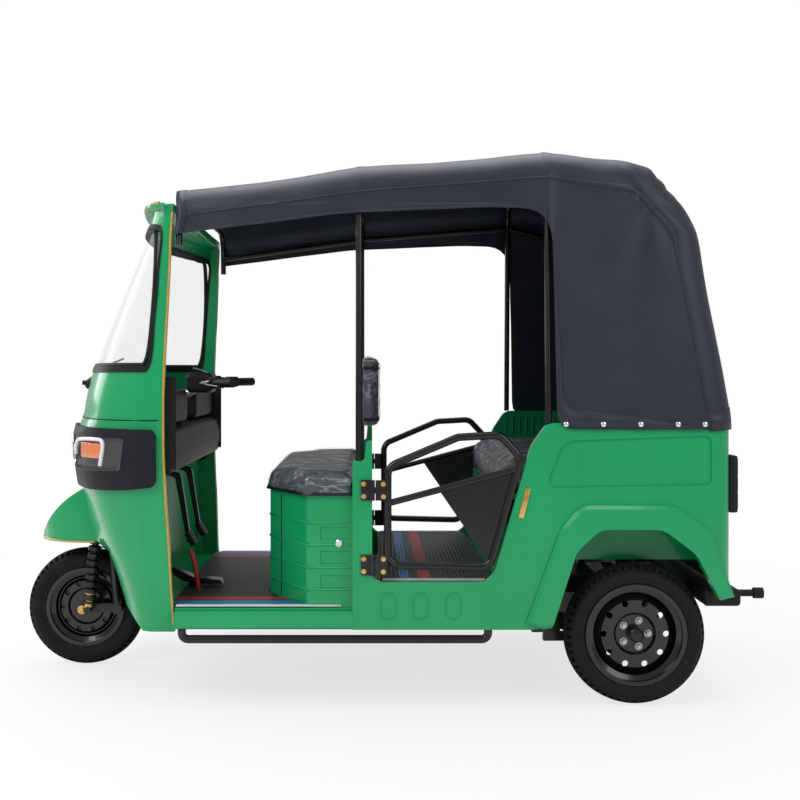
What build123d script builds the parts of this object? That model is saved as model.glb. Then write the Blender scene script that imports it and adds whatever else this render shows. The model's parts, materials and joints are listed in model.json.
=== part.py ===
from build123d import *
import os
from math import cos, radians, sin

# Motor tricycle with an open passenger cabin.
# Millimetres. While modelling, X runs to the rear from the front axle, Y to the right and Z up from the ground.
# At the end all pieces move along X together, so that the origin is under the middle of the overall length.

# Wheels and axles
WHEELBASE = 2000.0
REAR_TRACK = 1090.0
FRONT_TYRE_D = 450.0
FRONT_TYRE_W = 100.0
FRONT_RIM_D = 300.0
REAR_TYRE_D = 480.0
REAR_TYRE_W = 122.0
REAR_RIM_D = 344.0
RIM_WALL = 5.0
FLANGE_H = 9.0
RIM_VENTS = 10
WHEEL_STUDS = 5
STUD_CIRCLE = 92.0
SPINDLE_R = 14.0
FRONT_AXLE_R = 10.0
SHAFT_GAP = 0.3
SEAT_GAP = 0.3

# Steering
STEER_RAKE = 25.0
STEER_X = 111.0
STEER_Z = 520.0
COLUMN_R = 20.0
COLUMN_LENGTH = 545.0
HEAD_TUBE_R = 32.0
HEAD_TUBE_LOW = 92.0
HEAD_TUBE_LENGTH = 160.0
CROWN_HALF = 92.0
CROWN_FRONT = 75.0
CROWN_REAR = 30.0
CROWN_DEPTH = 60.0
LEG_R = 16.0
BOSS_WALL = 4.0
ARM_LENGTH = 137.0
ARM_Z = 232.0
ARM_INNER = 70.0
ARM_THICKNESS = 14.0
SHOCK_TOP_X = 62.0
SHOCK_LOW_X = 31.0
SHOCK_LOW_Z = 232.0
SPRING_R = 25.0
SHOCK_EYE_W = 2 * SPRING_R + 4
SPRING_COILS = 9
REAR_SPRING_R = 30.0
BAR_X = 455.0
BAR_Z = 1085.0
BAR_R = 11.0
BAR_HALF = 330.0
BAR_SWEEP = 145.0
GRIP_LENGTH = 120.0
GRIP_R = 16.5

# Body widths and walls
BODY_HALF = 630.0
WALL = 25.0
SHEET = 12.0
FLARE = 20.0
TAIL_CORNER = 90.0
HOUSE_Y = 450.0
HOUSE_Z = 474.0

# Levels
SILL_Z = 266.0
SILL_DROP = 8.0
CAB_FLOOR_Z = 335.0
REAR_FLOOR_Z = 425.0
FLOOR_T = 25.0
MAT_T = 3.0
MAT_MARGIN = 40.0
SEAT_BOX_Z = 712.0
BENCH_Z = 720.0
BENCH_T = 20.0
TUB_TOP_Z = 960.0
POST_TOP_Z = 832.0
STRIKE_Z = 900.0
TAIL_Z = 398.0
SKIRT_Z = 366.0
WAIST_Z = 965.0
SCREEN_LOW_Z = 1130.0
SCREEN_HIGH_Z = 1660.0

# Stations along the length
BULKHEAD_X = 300.0
FOOT_X = 486.0
SEAT_FRONT_X = 740.0
STEP_X = 1130.0
POST_X = 1040.0
POST_LENGTH = 66.0
BENCH_X = 1516.0
TAIL_X = 2325.0
BUMPER_X = 2240.0

# Cab
CAB_WALL = 22.0
GASKET_W = 22.0
GASKET_PROUD = 4.0
GLASS_T = 5.0
VISOR_PROUD = 26.0
VISOR_T = 14.0
VISOR_LAP = 4.0
VISOR_END = 40.0
# Plan sections of the cab's skin: height, nose, corner station, half width, corner radius, rear edge.
CAB_SECTIONS = [
    (250.0, 150.0, 290.0, 585.0, 90.0, 436.0),
    (500.0, 60.0, 215.0, 606.0, 150.0, 424.0),
    (720.0, 2.0, 110.0, 622.0, 210.0, 412.0),
    (WAIST_Z, -14.0, 85.0, BODY_HALF, 235.0, 405.0),
    (SCREEN_LOW_Z, 18.0, 115.0, 628.0, 225.0, 408.0),
    (SCREEN_HIGH_Z, 230.0, 300.0, 606.0, 95.0, 430.0),
    (1742.0, 258.0, 320.0, 600.0, 85.0, 435.0),
]
CAB_REAR_X = CAB_SECTIONS[-1][5]

# Mudguard over the front wheel
MUDGUARD_TIP_X = -167.0
MUDGUARD_TIP_Z = 489.0
MUDGUARD_HALF = 190.0
MUDGUARD_TIP_HALF = 95.0
MUDGUARD_TOP_Z = 712.0
MUDGUARD_REAR_X = 244.0
MUDGUARD_SKIRT_Z = 506.0
MUDGUARD_T = 6.0

# Chassis
RAIL_Y = 330.0
RAIL_W = 40.0
RAIL_H = 60.0
FRAME_FRONT_X = 250.0
NECK_W = 60.0
CROSS_W = 40.0
ENGINE_FRONT_X = 1600.0
ENGINE_REAR_X = 1880.0
ENGINE_HALF = 170.0
ENGINE_LOW_Z = 230.0
ENGINE_TOP_Z = 620.0

# Doors
DOOR_TUBE_R = 13.0
DOOR_POST = 52.0
HINGE_R = 9.0
HINGE_PIN_R = 5.0
HINGE_LEAF_T = 6.0
HINGE_LEAF_W = 38.0
HINGE_H = 68.0
HINGE_GAP = 0.5
HINGE_LEVELS = (484.0, 735.0)
DOOR_SHEET_T = 4.0

# Canopy
CANOPY_T = 8.0
CANOPY_HALF = BODY_HALF + CANOPY_T + SEAT_GAP
CANOPY_LEAN = 0.036
CANOPY_HEM = 22.0
FRAME_R = 11.0
HOOP_GAP = 2.0
FOOT_GAP = 0.8
TAIL_BAR_Z = 1640.0
SHOULDER_R = TAIL_CORNER + CANOPY_T + SEAT_GAP
# Roof line in side view: station, height, rounding of the corner.
ROOF_LINE = [
    (437.0, 1752.0, 0.0),
    (1061.0, 1838.0, 900.0),
    (1700.0, 1888.0, 400.0),
    (2050.0, 1846.0, 130.0),
    (2215.0, 1650.0, 130.0),
]

CENTER_LOW = (Align.CENTER, Align.CENTER, Align.MIN)
steer_tilt = radians(STEER_RAKE)
STEER_PLANE = Plane(
    origin=(STEER_X, 0, STEER_Z),
    x_dir=(cos(steer_tilt), 0, -sin(steer_tilt)),
    z_dir=(sin(steer_tilt), 0, cos(steer_tilt)),
)
front_axle_z = FRONT_TYRE_D / 2
rear_axle_z = REAR_TYRE_D / 2
post_rear_x = POST_X + POST_LENGTH
inner_half = BODY_HALF - WALL
hinge_y = BODY_HALF + HINGE_R + HINGE_GAP
nodes = {}


def block(x0, x1, y0, y1, z0, z1):
    """A box between two corners."""
    middle = ((x0 + x1) / 2, (y0 + y1) / 2, (z0 + z1) / 2)
    return Pos(*middle) * Box(x1 - x0, y1 - y0, z1 - z0)


def outline(rows):
    """A flat face from rows of two coordinates and the rounding of that corner."""
    face = make_face(Polyline(*[(u, v) for u, v, r in rows], close=True))
    for u, v, r in rows:
        if r:
            corner = face.vertices().sort_by_distance((u, v, 0))[0]
            face = fillet(corner, r)
    return face


def side_prism(rows, y0, y1):
    """A side view outline, station and height, given width from y0 to y1."""
    return Pos(0, y0, 0) * extrude(Plane.XZ * outline(rows), y1 - y0, dir=(0, 1, 0))


def plan_prism(rows, z0, z1):
    """A plan outline, station and side, given height from z0 to z1."""
    return Pos(0, 0, z0) * extrude(outline(rows), z1 - z0)


def rod(start, end, radius):
    """A straight round bar."""
    axis = Vector(*end) - Vector(*start)
    return Plane(origin=start, z_dir=axis) * Cylinder(radius, axis.length, align=CENTER_LOW)


def bent_tube(points, bend, radius, closed=False):
    """A round tube along straight runs joined by tangent arcs."""
    path = FilletPolyline(*points, radius=bend, close=closed)
    return sweep(Plane(origin=path @ 0, z_dir=path % 0) * Circle(radius), path=path)


def cross_bar(x, z, half, radius):
    """A round bar across the vehicle."""
    return rod((x, -half, z), (x, half, z), radius)


def spun(rows):
    """A ring turned about the Y axis from rows of radius and side, counted from the wheel's middle."""
    profile = make_face(Polyline(*rows, close=True))
    return revolve(Plane.XY * profile, Axis.Y)


def both(left):
    """A left piece and its mirror image, as one node of two solids."""
    return Compound([*left.solids(), *mirror(left, Plane.XZ).solids()])


def right_of(left):
    """The mirror image of a left piece."""
    return mirror(left, Plane.XZ)


# Wheels

def tyre(tyre_d, tyre_w, rim_d):
    """Tyre carcass, round over the tread and open to the rim on its inside."""
    crown = tyre_d / 2
    bead = rim_d / 2 - FLANGE_H
    lip = bead + FLANGE_H + 1.5
    half = tyre_w / 2
    tread_half = half * 0.72
    wall = 11.0
    seat = half * 0.8
    edges = [
        Line((bead, -seat), (lip, -seat)),
        ThreePointArc((lip, -seat), ((bead + crown) / 2 - 2, -half), (crown - 14, -tread_half)),
        ThreePointArc((crown - 14, -tread_half), (crown, 0), (crown - 14, tread_half)),
        ThreePointArc((crown - 14, tread_half), ((bead + crown) / 2 - 2, half), (lip, seat)),
        Line((lip, seat), (bead, seat)),
        Line((bead, seat), (bead, seat - wall)),
        ThreePointArc((bead, seat - wall), (crown - wall, 0), (bead, wall - seat)),
        Line((bead, wall - seat), (bead, -seat)),
    ]
    return revolve(make_face(edges), Axis.Y)


def rim(rim_d, tyre_w, bore_r, dish, hub_inner, stud_count):
    """Pressed steel wheel: flanged barrel, dished disc with vents, and a hub.

    dish is how far the disc's outer face stands out from the middle plane, on the outer side, which is -Y.
    """
    flange = rim_d / 2
    bead = flange - FLANGE_H - SEAT_GAP
    half = tyre_w / 2 * 0.8 + RIM_WALL
    well = bead - 16
    barrel = spun([
        (flange, -half), (flange, -half + RIM_WALL - SEAT_GAP), (bead, -half + RIM_WALL - SEAT_GAP),
        (bead, -half * 0.55), (well, -half * 0.4), (well, half * 0.4), (bead, half * 0.55),
        (bead, half - RIM_WALL + SEAT_GAP), (flange, half - RIM_WALL + SEAT_GAP), (flange, half),
        (bead - RIM_WALL, half), (bead - RIM_WALL, half * 0.6), (well - RIM_WALL, half * 0.45),
        (well - RIM_WALL, -half * 0.45), (bead - RIM_WALL, -half * 0.6), (bead - RIM_WALL, -half),
    ])
    ring = well * 0.78
    face_r = STUD_CIRCLE / 2 + 18
    root = well - RIM_WALL / 2
    disc = spun([
        (bore_r + 12, -dish), (face_r, -dish), (face_r + 8, -dish - 9), (ring, -dish - 9), (root, -dish + 16),
        (root, -dish + 24), (ring, -dish - 3), (face_r + 5, -dish - 3), (face_r, -dish + 6), (bore_r + 12, -dish + 6),
    ])
    for turn in range(RIM_VENTS):
        vent = rod((ring - 8, -dish - 40, 0), (ring - 8, -dish + 40, 0), 10.5)
        disc -= Rot(0, 360 / RIM_VENTS * turn, 0) * vent
    hub = rod((0, -dish - 14, 0), (0, hub_inner, 0), bore_r + 12.5)
    wheel = barrel + disc + hub
    for turn in range(stud_count):
        stud = rod((STUD_CIRCLE / 2, -dish - 12, 0), (STUD_CIRCLE / 2, -dish + 2, 0), 6.0)
        wheel += Rot(0, 360 / stud_count * turn, 0) * stud
    return wheel - rod((0, -dish - 20, 0), (0, hub_inner + 20, 0), bore_r)


def add_wheels():
    """One steered wheel in the middle at the front and two driven wheels at the rear."""
    front = Pos(0, 0, front_axle_z)
    nodes["front_tyre"] = front * tyre(FRONT_TYRE_D, FRONT_TYRE_W, FRONT_RIM_D)
    nodes["front_rim"] = front * rim(FRONT_RIM_D, FRONT_TYRE_W, FRONT_AXLE_R + SHAFT_GAP, 14.0, 48.0, 0)
    rear = Pos(WHEELBASE, -REAR_TRACK / 2, rear_axle_z)
    rear_tyre = rear * tyre(REAR_TYRE_D, REAR_TYRE_W, REAR_RIM_D)
    rear_rim = rear * rim(REAR_RIM_D, REAR_TYRE_W, SPINDLE_R + SHAFT_GAP, 18.0, 40.0, WHEEL_STUDS)
    nodes["rear_tyre_left"] = rear_tyre
    nodes["rear_rim_left"] = rear_rim
    nodes["rear_tyre_right"] = right_of(rear_tyre)
    nodes["rear_rim_right"] = right_of(rear_rim)


# Steering and front suspension

def coil_over(low, high, eye_w, radius):
    """Shock absorber between two eyes across the vehicle: damper, spring seats and ribbed spring."""
    span = Vector(*high) - Vector(*low)
    eye_r = 13.0
    length = span.length
    start = eye_r + 18
    end = length - eye_r - 4
    pitch = (end - start) / SPRING_COILS
    wire = pitch * 0.28
    valley = radius - 1.6 * wire
    rows = [(0, eye_r - 3), (13, eye_r - 3), (13, start - 8), (radius, start - 8), (radius, start)]
    for coil in range(SPRING_COILS):
        middle = start + pitch * (coil + 0.5)
        rows += [(valley, middle - 1.6 * wire), (radius, middle - wire)]
        rows += [(radius, middle + wire), (valley, middle + 1.6 * wire)]
    rows += [(radius, end), (radius, end + 6), (13, end + 6), (13, length - eye_r + 3), (0, length - eye_r + 3)]
    body = revolve(Plane.XZ * make_face(Polyline(*rows, close=True)), Axis.Z)
    eye = rod((0, -eye_w / 2, 0), (0, eye_w / 2, 0), eye_r)
    unit = body + eye + Pos(0, 0, length) * eye
    return Plane(origin=low, x_dir=Vector(0, 1, 0).cross(span), z_dir=span) * unit


def add_steering():
    """Raked column and crown, two legs behind the wheel, leading arms, shock absorbers and handlebar."""
    column = STEER_PLANE * Cylinder(COLUMN_R, COLUMN_LENGTH, align=CENTER_LOW)
    crown = block(-CROWN_FRONT, CROWN_REAR, -CROWN_HALF, CROWN_HALF, -CROWN_DEPTH * 0.65, CROWN_DEPTH * 0.35)
    crown = STEER_PLANE * fillet(crown.edges().filter_by(Axis.Y), 12)
    arm_outer = ARM_INNER + ARM_THICKNESS
    leg_y = arm_outer + LEG_R + SEAT_GAP
    boss_end = leg_y + LEG_R + BOSS_WALL - 1
    fork = column + crown
    for side in (-1, 1):
        fork += rod((STEER_X, side * leg_y, STEER_Z), (ARM_LENGTH, side * leg_y, ARM_Z), LEG_R)
        fork += rod((ARM_LENGTH, side * arm_outer, ARM_Z), (ARM_LENGTH, side * boss_end, ARM_Z), LEG_R + BOSS_WALL)
    nodes["steering_fork"] = fork

    bar_width = 34.0
    arm = rod((0, -arm_outer, front_axle_z), (0, -ARM_INNER, front_axle_z), 24)
    arm += rod((ARM_LENGTH, -arm_outer, ARM_Z), (ARM_LENGTH, -ARM_INNER, ARM_Z), 20)
    run = Vector(ARM_LENGTH, 0, ARM_Z - front_axle_z)
    bar = Plane(origin=(0, -(ARM_INNER + arm_outer) / 2, front_axle_z), x_dir=run, z_dir=(-run.Z, 0, run.X))
    arm += bar * block(0, run.length, -ARM_THICKNESS / 2, ARM_THICKNESS / 2, -bar_width / 2, bar_width / 2)
    arm += rod((SHOCK_LOW_X, -CROWN_HALF, SHOCK_LOW_Z), (SHOCK_LOW_X, -ARM_INNER, SHOCK_LOW_Z), 13)
    arm -= rod((0, -arm_outer - 1, front_axle_z), (0, 0, front_axle_z), FRONT_AXLE_R + SHAFT_GAP)
    nodes["front_arms"] = both(arm)

    axle = cross_bar(0, front_axle_z, arm_outer + 14, FRONT_AXLE_R)
    for side in (-1, 1):
        axle += rod((0, side * arm_outer, front_axle_z), (0, side * (arm_outer + 12), front_axle_z), 17)
        axle += rod((0, side * 54, front_axle_z), (0, side * ARM_INNER, front_axle_z), 18)
    nodes["front_axle"] = axle

    shock_y = CROWN_HALF + SHOCK_EYE_W / 2
    low = (SHOCK_LOW_X, -shock_y, SHOCK_LOW_Z)
    high = (SHOCK_TOP_X, -shock_y, STEER_Z)
    nodes["front_shocks"] = both(coil_over(low, high, SHOCK_EYE_W, SPRING_R))

    stem_foot = STEER_PLANE.from_local_coords((0, 0, COLUMN_LENGTH + 16))
    grip_x = BAR_X + BAR_SWEEP
    points = [
        (grip_x, -BAR_HALF, BAR_Z + 6), (BAR_X + 40, -BAR_HALF + 140, BAR_Z + 4), (BAR_X, -90, BAR_Z),
        (BAR_X, 90, BAR_Z), (BAR_X + 40, BAR_HALF - 140, BAR_Z + 4), (grip_x, BAR_HALF, BAR_Z + 6),
    ]
    stem = rod((stem_foot.X, 0, stem_foot.Z), (BAR_X, 0, BAR_Z), 15)
    socket = STEER_PLANE * Pos(0, 0, COLUMN_LENGTH) * Cylinder(COLUMN_R, 30, align=CENTER_LOW)
    handlebar = bent_tube(points, 60, BAR_R) + stem + socket
    nodes["handlebar"] = handlebar

    grip_end = Vector(*points[0])
    grip_run = (Vector(*points[1]) - grip_end).normalized()
    grip_plane = Plane(origin=grip_end - grip_run * 8, z_dir=grip_run)
    grip = grip_plane * Cylinder(GRIP_R, GRIP_LENGTH, align=CENTER_LOW)
    grip -= Plane(origin=grip_end, z_dir=grip_run) * Cylinder(BAR_R + 0.1, GRIP_LENGTH, align=CENTER_LOW)
    nodes["handlebar_grips"] = both(grip)

    hood = block(BAR_X - 62, BAR_X + 38, -78, 78, BAR_Z - 34, BAR_Z + 44)
    hood = fillet(hood.edges(), 20)
    hood -= bent_tube(points, 60, BAR_R + SEAT_GAP)
    hood -= rod((stem_foot.X, 0, stem_foot.Z), (BAR_X, 0, BAR_Z), 15 + SEAT_GAP)
    hood -= STEER_PLANE * Cylinder(COLUMN_R + SEAT_GAP, COLUMN_LENGTH + 30 + SEAT_GAP, align=CENTER_LOW)
    nodes["handlebar_cover"] = hood


# Cab

def cab_plan(row, inset, rear_extra):
    """One plan section of the cab: straight sides, rounded corners and a bowed front."""
    height, nose, corner, half, radius, rear = row
    front = corner + inset
    side = half - inset
    back = rear + rear_extra
    edges = [
        Line((back, -side), (front, -side)),
        ThreePointArc((front, -side), (nose + inset, 0), (front, side)),
        Line((front, side), (back, side)),
        Line((back, side), (back, -side)),
    ]
    face = make_face(edges)
    corners = [v for v in face.vertices() if abs(v.X - front) < 1]
    return Pos(0, 0, height) * fillet(corners, radius - inset / 2)


def cab_form(inset, rear_extra=0.0):
    """The cab's outer form, drawn in by an inset, as one lofted solid."""
    return loft([cab_plan(row, inset, rear_extra) for row in CAB_SECTIONS])


def add_cab():
    """Cab skin in a lower and an upper pressing, with the screen, its rubber, lamps and mudguard."""
    outer = cab_form(0)
    skin = outer - cab_form(CAB_WALL, 60)
    top_z = CAB_SECTIONS[-1][0]
    header = outer & block(0, 2000, -BODY_HALF, BODY_HALF, SCREEN_HIGH_Z + 55, top_z)
    far = 2 * BODY_HALF

    screen_rows = [
        (-400, SCREEN_LOW_Z, 0), (338, SCREEN_LOW_Z, 60), (388, SCREEN_HIGH_Z - 10, 55),
        (290, SCREEN_HIGH_Z + 14, 0), (-400, SCREEN_HIGH_Z + 14, 0),
    ]
    glass_rows = [
        (-400, SCREEN_LOW_Z + GASKET_W, 0), (338 - GASKET_W, SCREEN_LOW_Z + GASKET_W, 45),
        (388 - GASKET_W, SCREEN_HIGH_Z - 10 - GASKET_W, 40), (290, SCREEN_HIGH_Z + 14 - GASKET_W, 0),
        (-400, SCREEN_HIGH_Z + 14 - GASKET_W, 0),
    ]
    screen_hole = side_prism(screen_rows, -far, far)
    glass_hole = side_prism(glass_rows, -far, far)

    brow = CAB_SECTIONS[-1]
    visor = extrude(cab_plan(brow, -VISOR_PROUD, 0), -VISOR_T) - extrude(cab_plan(brow, VISOR_LAP, 1), -VISOR_T)
    visor -= block(CAB_REAR_X - VISOR_END, CAB_REAR_X + VISOR_END, -far, far, top_z - VISOR_END, top_z + VISOR_END)
    seam = block(-400, 900, -far, far, WAIST_Z, 3000)
    upper = (skin + header) & seam
    nodes["cab_upper_shell"] = (upper - screen_hole) + visor

    rubber = cab_form(-GASKET_PROUD) - cab_form(CAB_WALL + GASKET_PROUD, 60)
    nodes["windscreen_gasket"] = (rubber & screen_hole) - glass_hole
    middle = (CAB_WALL - GLASS_T) / 2
    nodes["windscreen"] = (cab_form(middle) - cab_form(middle + GLASS_T, 60)) & glass_hole

    bezel_rows = [(-300, 705, 0), (372, 745, 30), (372, WAIST_Z - 28, 30), (-300, WAIST_Z - 22, 0)]
    lens_rows = [(-300, 772, 0), (150, 800, 12), (172, 908, 10), (-300, 905, 0)]
    inner_edge = 150.0
    left_side = block(-400, 900, -far, -inner_edge, 0, 3000)
    bezel_hole = side_prism(bezel_rows, -far, far)
    lens_hole = side_prism(lens_rows, -far, far)
    bezel = (cab_form(-16) - cab_form(CAB_WALL, 60)) & bezel_hole & left_side
    bezel_left = bezel - (lens_hole & block(-400, 900, -far, -inner_edge - 40, 0, 3000))
    nodes["headlamp_bezels"] = both(bezel_left)
    lens_side = block(-400, 900, -far, -inner_edge - 40, 0, 3000)
    nodes["headlamps"] = both((cab_form(-24) - cab_form(CAB_WALL, 60)) & lens_hole & lens_side)

    arch_rows = [
        (-400, 100, 0), (-400, MUDGUARD_SKIRT_Z + 8, 0), (150, MUDGUARD_SKIRT_Z + 8, 25),
        (188, 420, 80), (222, 318, 20), (300, 245, 0), (300, 100, 0),
    ]
    bezel_seats = bezel_hole - block(-400, 900, -inner_edge, inner_edge, 0, 3000)
    lower = (skin - seam) - bezel_seats - side_prism(arch_rows, -far, far)
    lower -= mudguard_form(-SEAT_GAP)
    nodes["cab_lower_shell"] = lower

    mudguard = mudguard_form(0) - mudguard_form(MUDGUARD_T, 60)
    head_room = STEER_PLANE * Cylinder(HEAD_TUBE_R + 6, 400, align=CENTER_LOW)
    neck_room = block(STEER_X, BULKHEAD_X, -NECK_W / 2 - 6, NECK_W / 2 + 6, STEER_Z + 60, 2 * STEER_Z)
    nodes["front_mudguard"] = mudguard - head_room - neck_room


def mudguard_form(inset, open_by=0.0):
    """The mudguard's form: a nose in plan under a rising top line, drawn in by an inset."""
    tip = MUDGUARD_TIP_X + inset
    half = MUDGUARD_HALF - inset
    tip_half = MUDGUARD_TIP_HALF - inset
    top = MUDGUARD_TOP_Z - inset
    rear = MUDGUARD_REAR_X + open_by
    low = MUDGUARD_TIP_Z - open_by
    skirt = MUDGUARD_SKIRT_Z - open_by
    edges = [
        Line((rear, skirt), (tip, low)),
        Line((tip, low), (tip, MUDGUARD_TIP_Z + 14 - inset)),
        ThreePointArc((tip, MUDGUARD_TIP_Z + 14 - inset), (-98 + inset / 2, 600 - inset), (60, top)),
        Line((60, top), (rear, top)),
        Line((rear, top), (rear, skirt)),
    ]
    side = extrude(Plane.XZ * make_face(edges), half + 10, both=True)
    plan = [
        Line((rear, -half), (40, -half)),
        ThreePointArc((40, -half), (-90 + inset / 2, -tip_half - 42), (tip + 22, -tip_half + 30)),
        ThreePointArc((tip + 22, -tip_half + 30), (tip, 0), (tip + 22, tip_half - 30)),
        ThreePointArc((tip + 22, tip_half - 30), (-90 + inset / 2, tip_half + 42), (40, half)),
        Line((40, half), (rear, half)),
        Line((rear, half), (rear, -half)),
    ]
    return side & extrude(make_face(plan), 1200)


def add_front_inside():
    """Bulkhead behind the wheel, dashboard and foot controls."""
    inside = cab_form(CAB_WALL + SEAT_GAP, 30)
    bulkhead = block(BULKHEAD_X, BULKHEAD_X + SHEET, -BODY_HALF, BODY_HALF, CAB_FLOOR_Z, 780)
    bulkhead = fillet(bulkhead.edges().filter_by(Axis.X), 20)
    nodes["front_bulkhead"] = bulkhead & inside

    dash_rows = [
        (215, 782, 0), (425, 782, 25), (440, 860, 30), (425, 925, 20), (330, 955, 40), (215, 930, 0),
    ]
    dash = side_prism(dash_rows, -BODY_HALF, BODY_HALF) & inside
    slot = STEER_PLANE * Cylinder(COLUMN_R + 16, 900, align=CENTER_LOW)
    nodes["dashboard"] = dash - slot

    pedals = []
    for y in (-60.0, 210.0):
        rows = [(BULKHEAD_X + SHEET, 760, 0), (372, 740, 20), (412, 480, 12), (396, 478, 0), (350, 726, 20),
                (BULKHEAD_X + SHEET, 740, 0)]
        arm = side_prism(rows, y - 9, y + 9)
        pad = Plane(origin=(408, y, 492), x_dir=(0, 1, 0), z_dir=(0.86, 0, 0.5)) * Box(74, 54, 12)
        pedals.append(arm + pad)
    heel_rows = [(352, 402, 0), (372, 414, 0), (450, 376, 0), (548, 366, 0), (556, 352, 0), (450, 352, 0), (402, 366, 0)]
    rocker = side_prism(heel_rows, -250, -196)
    foot = block(432, 476, -240, -206, CAB_FLOOR_Z, 362)
    nodes["foot_pedals"] = Compound([*pedals[0].solids(), *pedals[1].solids(), *(rocker + foot).solids()])


# Chassis and running gear

def add_chassis():
    """Ladder frame with a kick-up behind the driver, and the neck that carries the steering head."""
    low = CAB_FLOOR_Z - FLOOR_T
    high = REAR_FLOOR_Z - FLOOR_T
    kick = STEP_X + FLOOR_T + 26
    tail = BUMPER_X
    rail_rows = [
        (FRAME_FRONT_X, low - RAIL_H, 0), (kick + 10, low - RAIL_H, 60), (kick + 120, high - RAIL_H, 60),
        (tail, high - RAIL_H, 0), (tail, high, 0), (kick + 110, high, 60), (kick, low, 60), (FRAME_FRONT_X, low, 0),
    ]
    rail = side_prism(rail_rows, -RAIL_Y - RAIL_W / 2, -RAIL_Y + RAIL_W / 2)
    frame = rail + right_of(rail)
    # Cross members: front station and the top of the rails there.
    members = [
        (FRAME_FRONT_X, low), (680.0, low), (1300.0, high), (ENGINE_FRONT_X, high), (ENGINE_REAR_X, high),
        (tail - CROSS_W, high),
    ]
    for x, top in members:
        frame += block(x, x + CROSS_W, -RAIL_Y, RAIL_Y, top - RAIL_H, top)
    neck_x = FRAME_FRONT_X + 2
    neck_rows = [
        (neck_x, low - RAIL_H, 0), (neck_x + CROSS_W, low - RAIL_H, 0), (neck_x + CROSS_W, 640, 30), (215, 728, 0),
        (165, 660, 0), (neck_x, 560, 40),
    ]
    frame += side_prism(neck_rows, -NECK_W / 2, NECK_W / 2)
    head = STEER_PLANE * Pos(0, 0, HEAD_TUBE_LOW) * Cylinder(HEAD_TUBE_R, HEAD_TUBE_LENGTH, align=CENTER_LOW)
    bore = STEER_PLANE * Cylinder(COLUMN_R + SHAFT_GAP, COLUMN_LENGTH, align=CENTER_LOW)
    arm_y = 400.0
    arm_half = 14.0
    bracket = block(1668, 1712, -arm_y - arm_half, -RAIL_Y, 210, high - RAIL_H + 10)
    bracket = fillet(bracket.edges().filter_by(Axis.Y), 8)
    spring_side = -arm_y + REAR_SPRING_R + 4
    tower = block(WHEELBASE - 16, WHEELBASE + 16, spring_side, -RAIL_Y, high - RAIL_H, high + 108)
    tower += block(WHEELBASE - 16, WHEELBASE + 16, -arm_y + arm_half, -RAIL_Y, high + 82, high + 108)
    frame += bracket + right_of(bracket) + tower + right_of(tower)
    nodes["chassis_frame"] = (frame + head) - bore

    engine = block(ENGINE_FRONT_X + CROSS_W, ENGINE_REAR_X, -ENGINE_HALF, ENGINE_HALF, ENGINE_LOW_Z, ENGINE_TOP_Z)
    nodes["engine_block"] = fillet(engine.edges(), 15)

    flange_y = REAR_TRACK / 2 - 62
    tube = cross_bar(WHEELBASE, rear_axle_z, flange_y, 30)
    casing = Pos(WHEELBASE, 0, rear_axle_z) * Sphere(88)
    casing &= block(WHEELBASE - 100, WHEELBASE + 100, -70, 70, 0, 600)
    axle = tube + casing + cross_bar(WHEELBASE, rear_axle_z, REAR_TRACK / 2 + 36, SPINDLE_R)
    for side in (-1, 1):
        plate_inner = side * (flange_y - 14)
        axle += rod((WHEELBASE, plate_inner, rear_axle_z), (WHEELBASE, side * flange_y, rear_axle_z), 112)
        cap = side * (REAR_TRACK / 2 + 36)
        axle += rod((WHEELBASE, cap, rear_axle_z), (WHEELBASE, cap + side * 14, rear_axle_z), 20)
    nodes["rear_axle"] = axle

    arm_front = 1712 + SEAT_GAP
    arm_top = rear_axle_z - 30 - SEAT_GAP
    arm = block(arm_front, WHEELBASE, -arm_y - arm_half, -arm_y + arm_half, arm_top - 30, arm_top)
    arm += rod((arm_front + 30, -arm_y - arm_half, 225), (arm_front + 30, -arm_y + arm_half, 225), 30)
    nodes["rear_arms"] = both(arm)
    low_eye = (WHEELBASE, -arm_y, rear_axle_z + 30 + 13 + SEAT_GAP)
    high_eye = (WHEELBASE, -arm_y, high + 90)
    nodes["rear_shocks"] = both(coil_over(low_eye, high_eye, 2 * arm_half, REAR_SPRING_R))


# Body behind the cab

def add_floor():
    """Driver's floor, step up behind the seat box and passengers' floor, in one pressing with side sills."""
    half = inner_half - SEAT_GAP
    front_x = BULKHEAD_X + SHEET
    cab_under = CAB_FLOOR_Z - FLOOR_T
    rear_under = REAR_FLOOR_Z - FLOOR_T
    rows = [
        (front_x, CAB_FLOOR_Z, 0), (STEP_X, CAB_FLOOR_Z, 0), (STEP_X, REAR_FLOOR_Z, 0), (BENCH_X, REAR_FLOOR_Z, 0),
        (BENCH_X, rear_under, 0), (STEP_X + FLOOR_T, rear_under, 0), (STEP_X + FLOOR_T, cab_under, 0),
        (front_x, cab_under, 0),
    ]
    floor = side_prism(rows, -half, half)
    # Raised foot panel between the foot controls and the seat box.
    panel_half = inner_half - MAT_MARGIN
    floor += block(FOOT_X, SEAT_FRONT_X - MAT_MARGIN / 4, -panel_half, panel_half, CAB_FLOOR_Z, CAB_FLOOR_Z + MAT_T)
    cab_side = cab_form(CAB_WALL + SEAT_GAP, 2000)
    front = block(0, CAB_REAR_X + 5, -BODY_HALF, BODY_HALF, 0, 600)
    floor -= front - cab_side
    sill_top = CAB_FLOOR_Z - SILL_DROP
    sill = block(CAB_REAR_X + 6, POST_X - SEAT_GAP, -BODY_HALF, -inner_half + 2 * SEAT_GAP, SILL_Z, sill_top)
    sill = fillet(sill.edges().filter_by(Axis.X).group_by(Axis.Y)[0], 10)
    nodes["floor_pan"] = floor + sill + right_of(sill)


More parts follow.
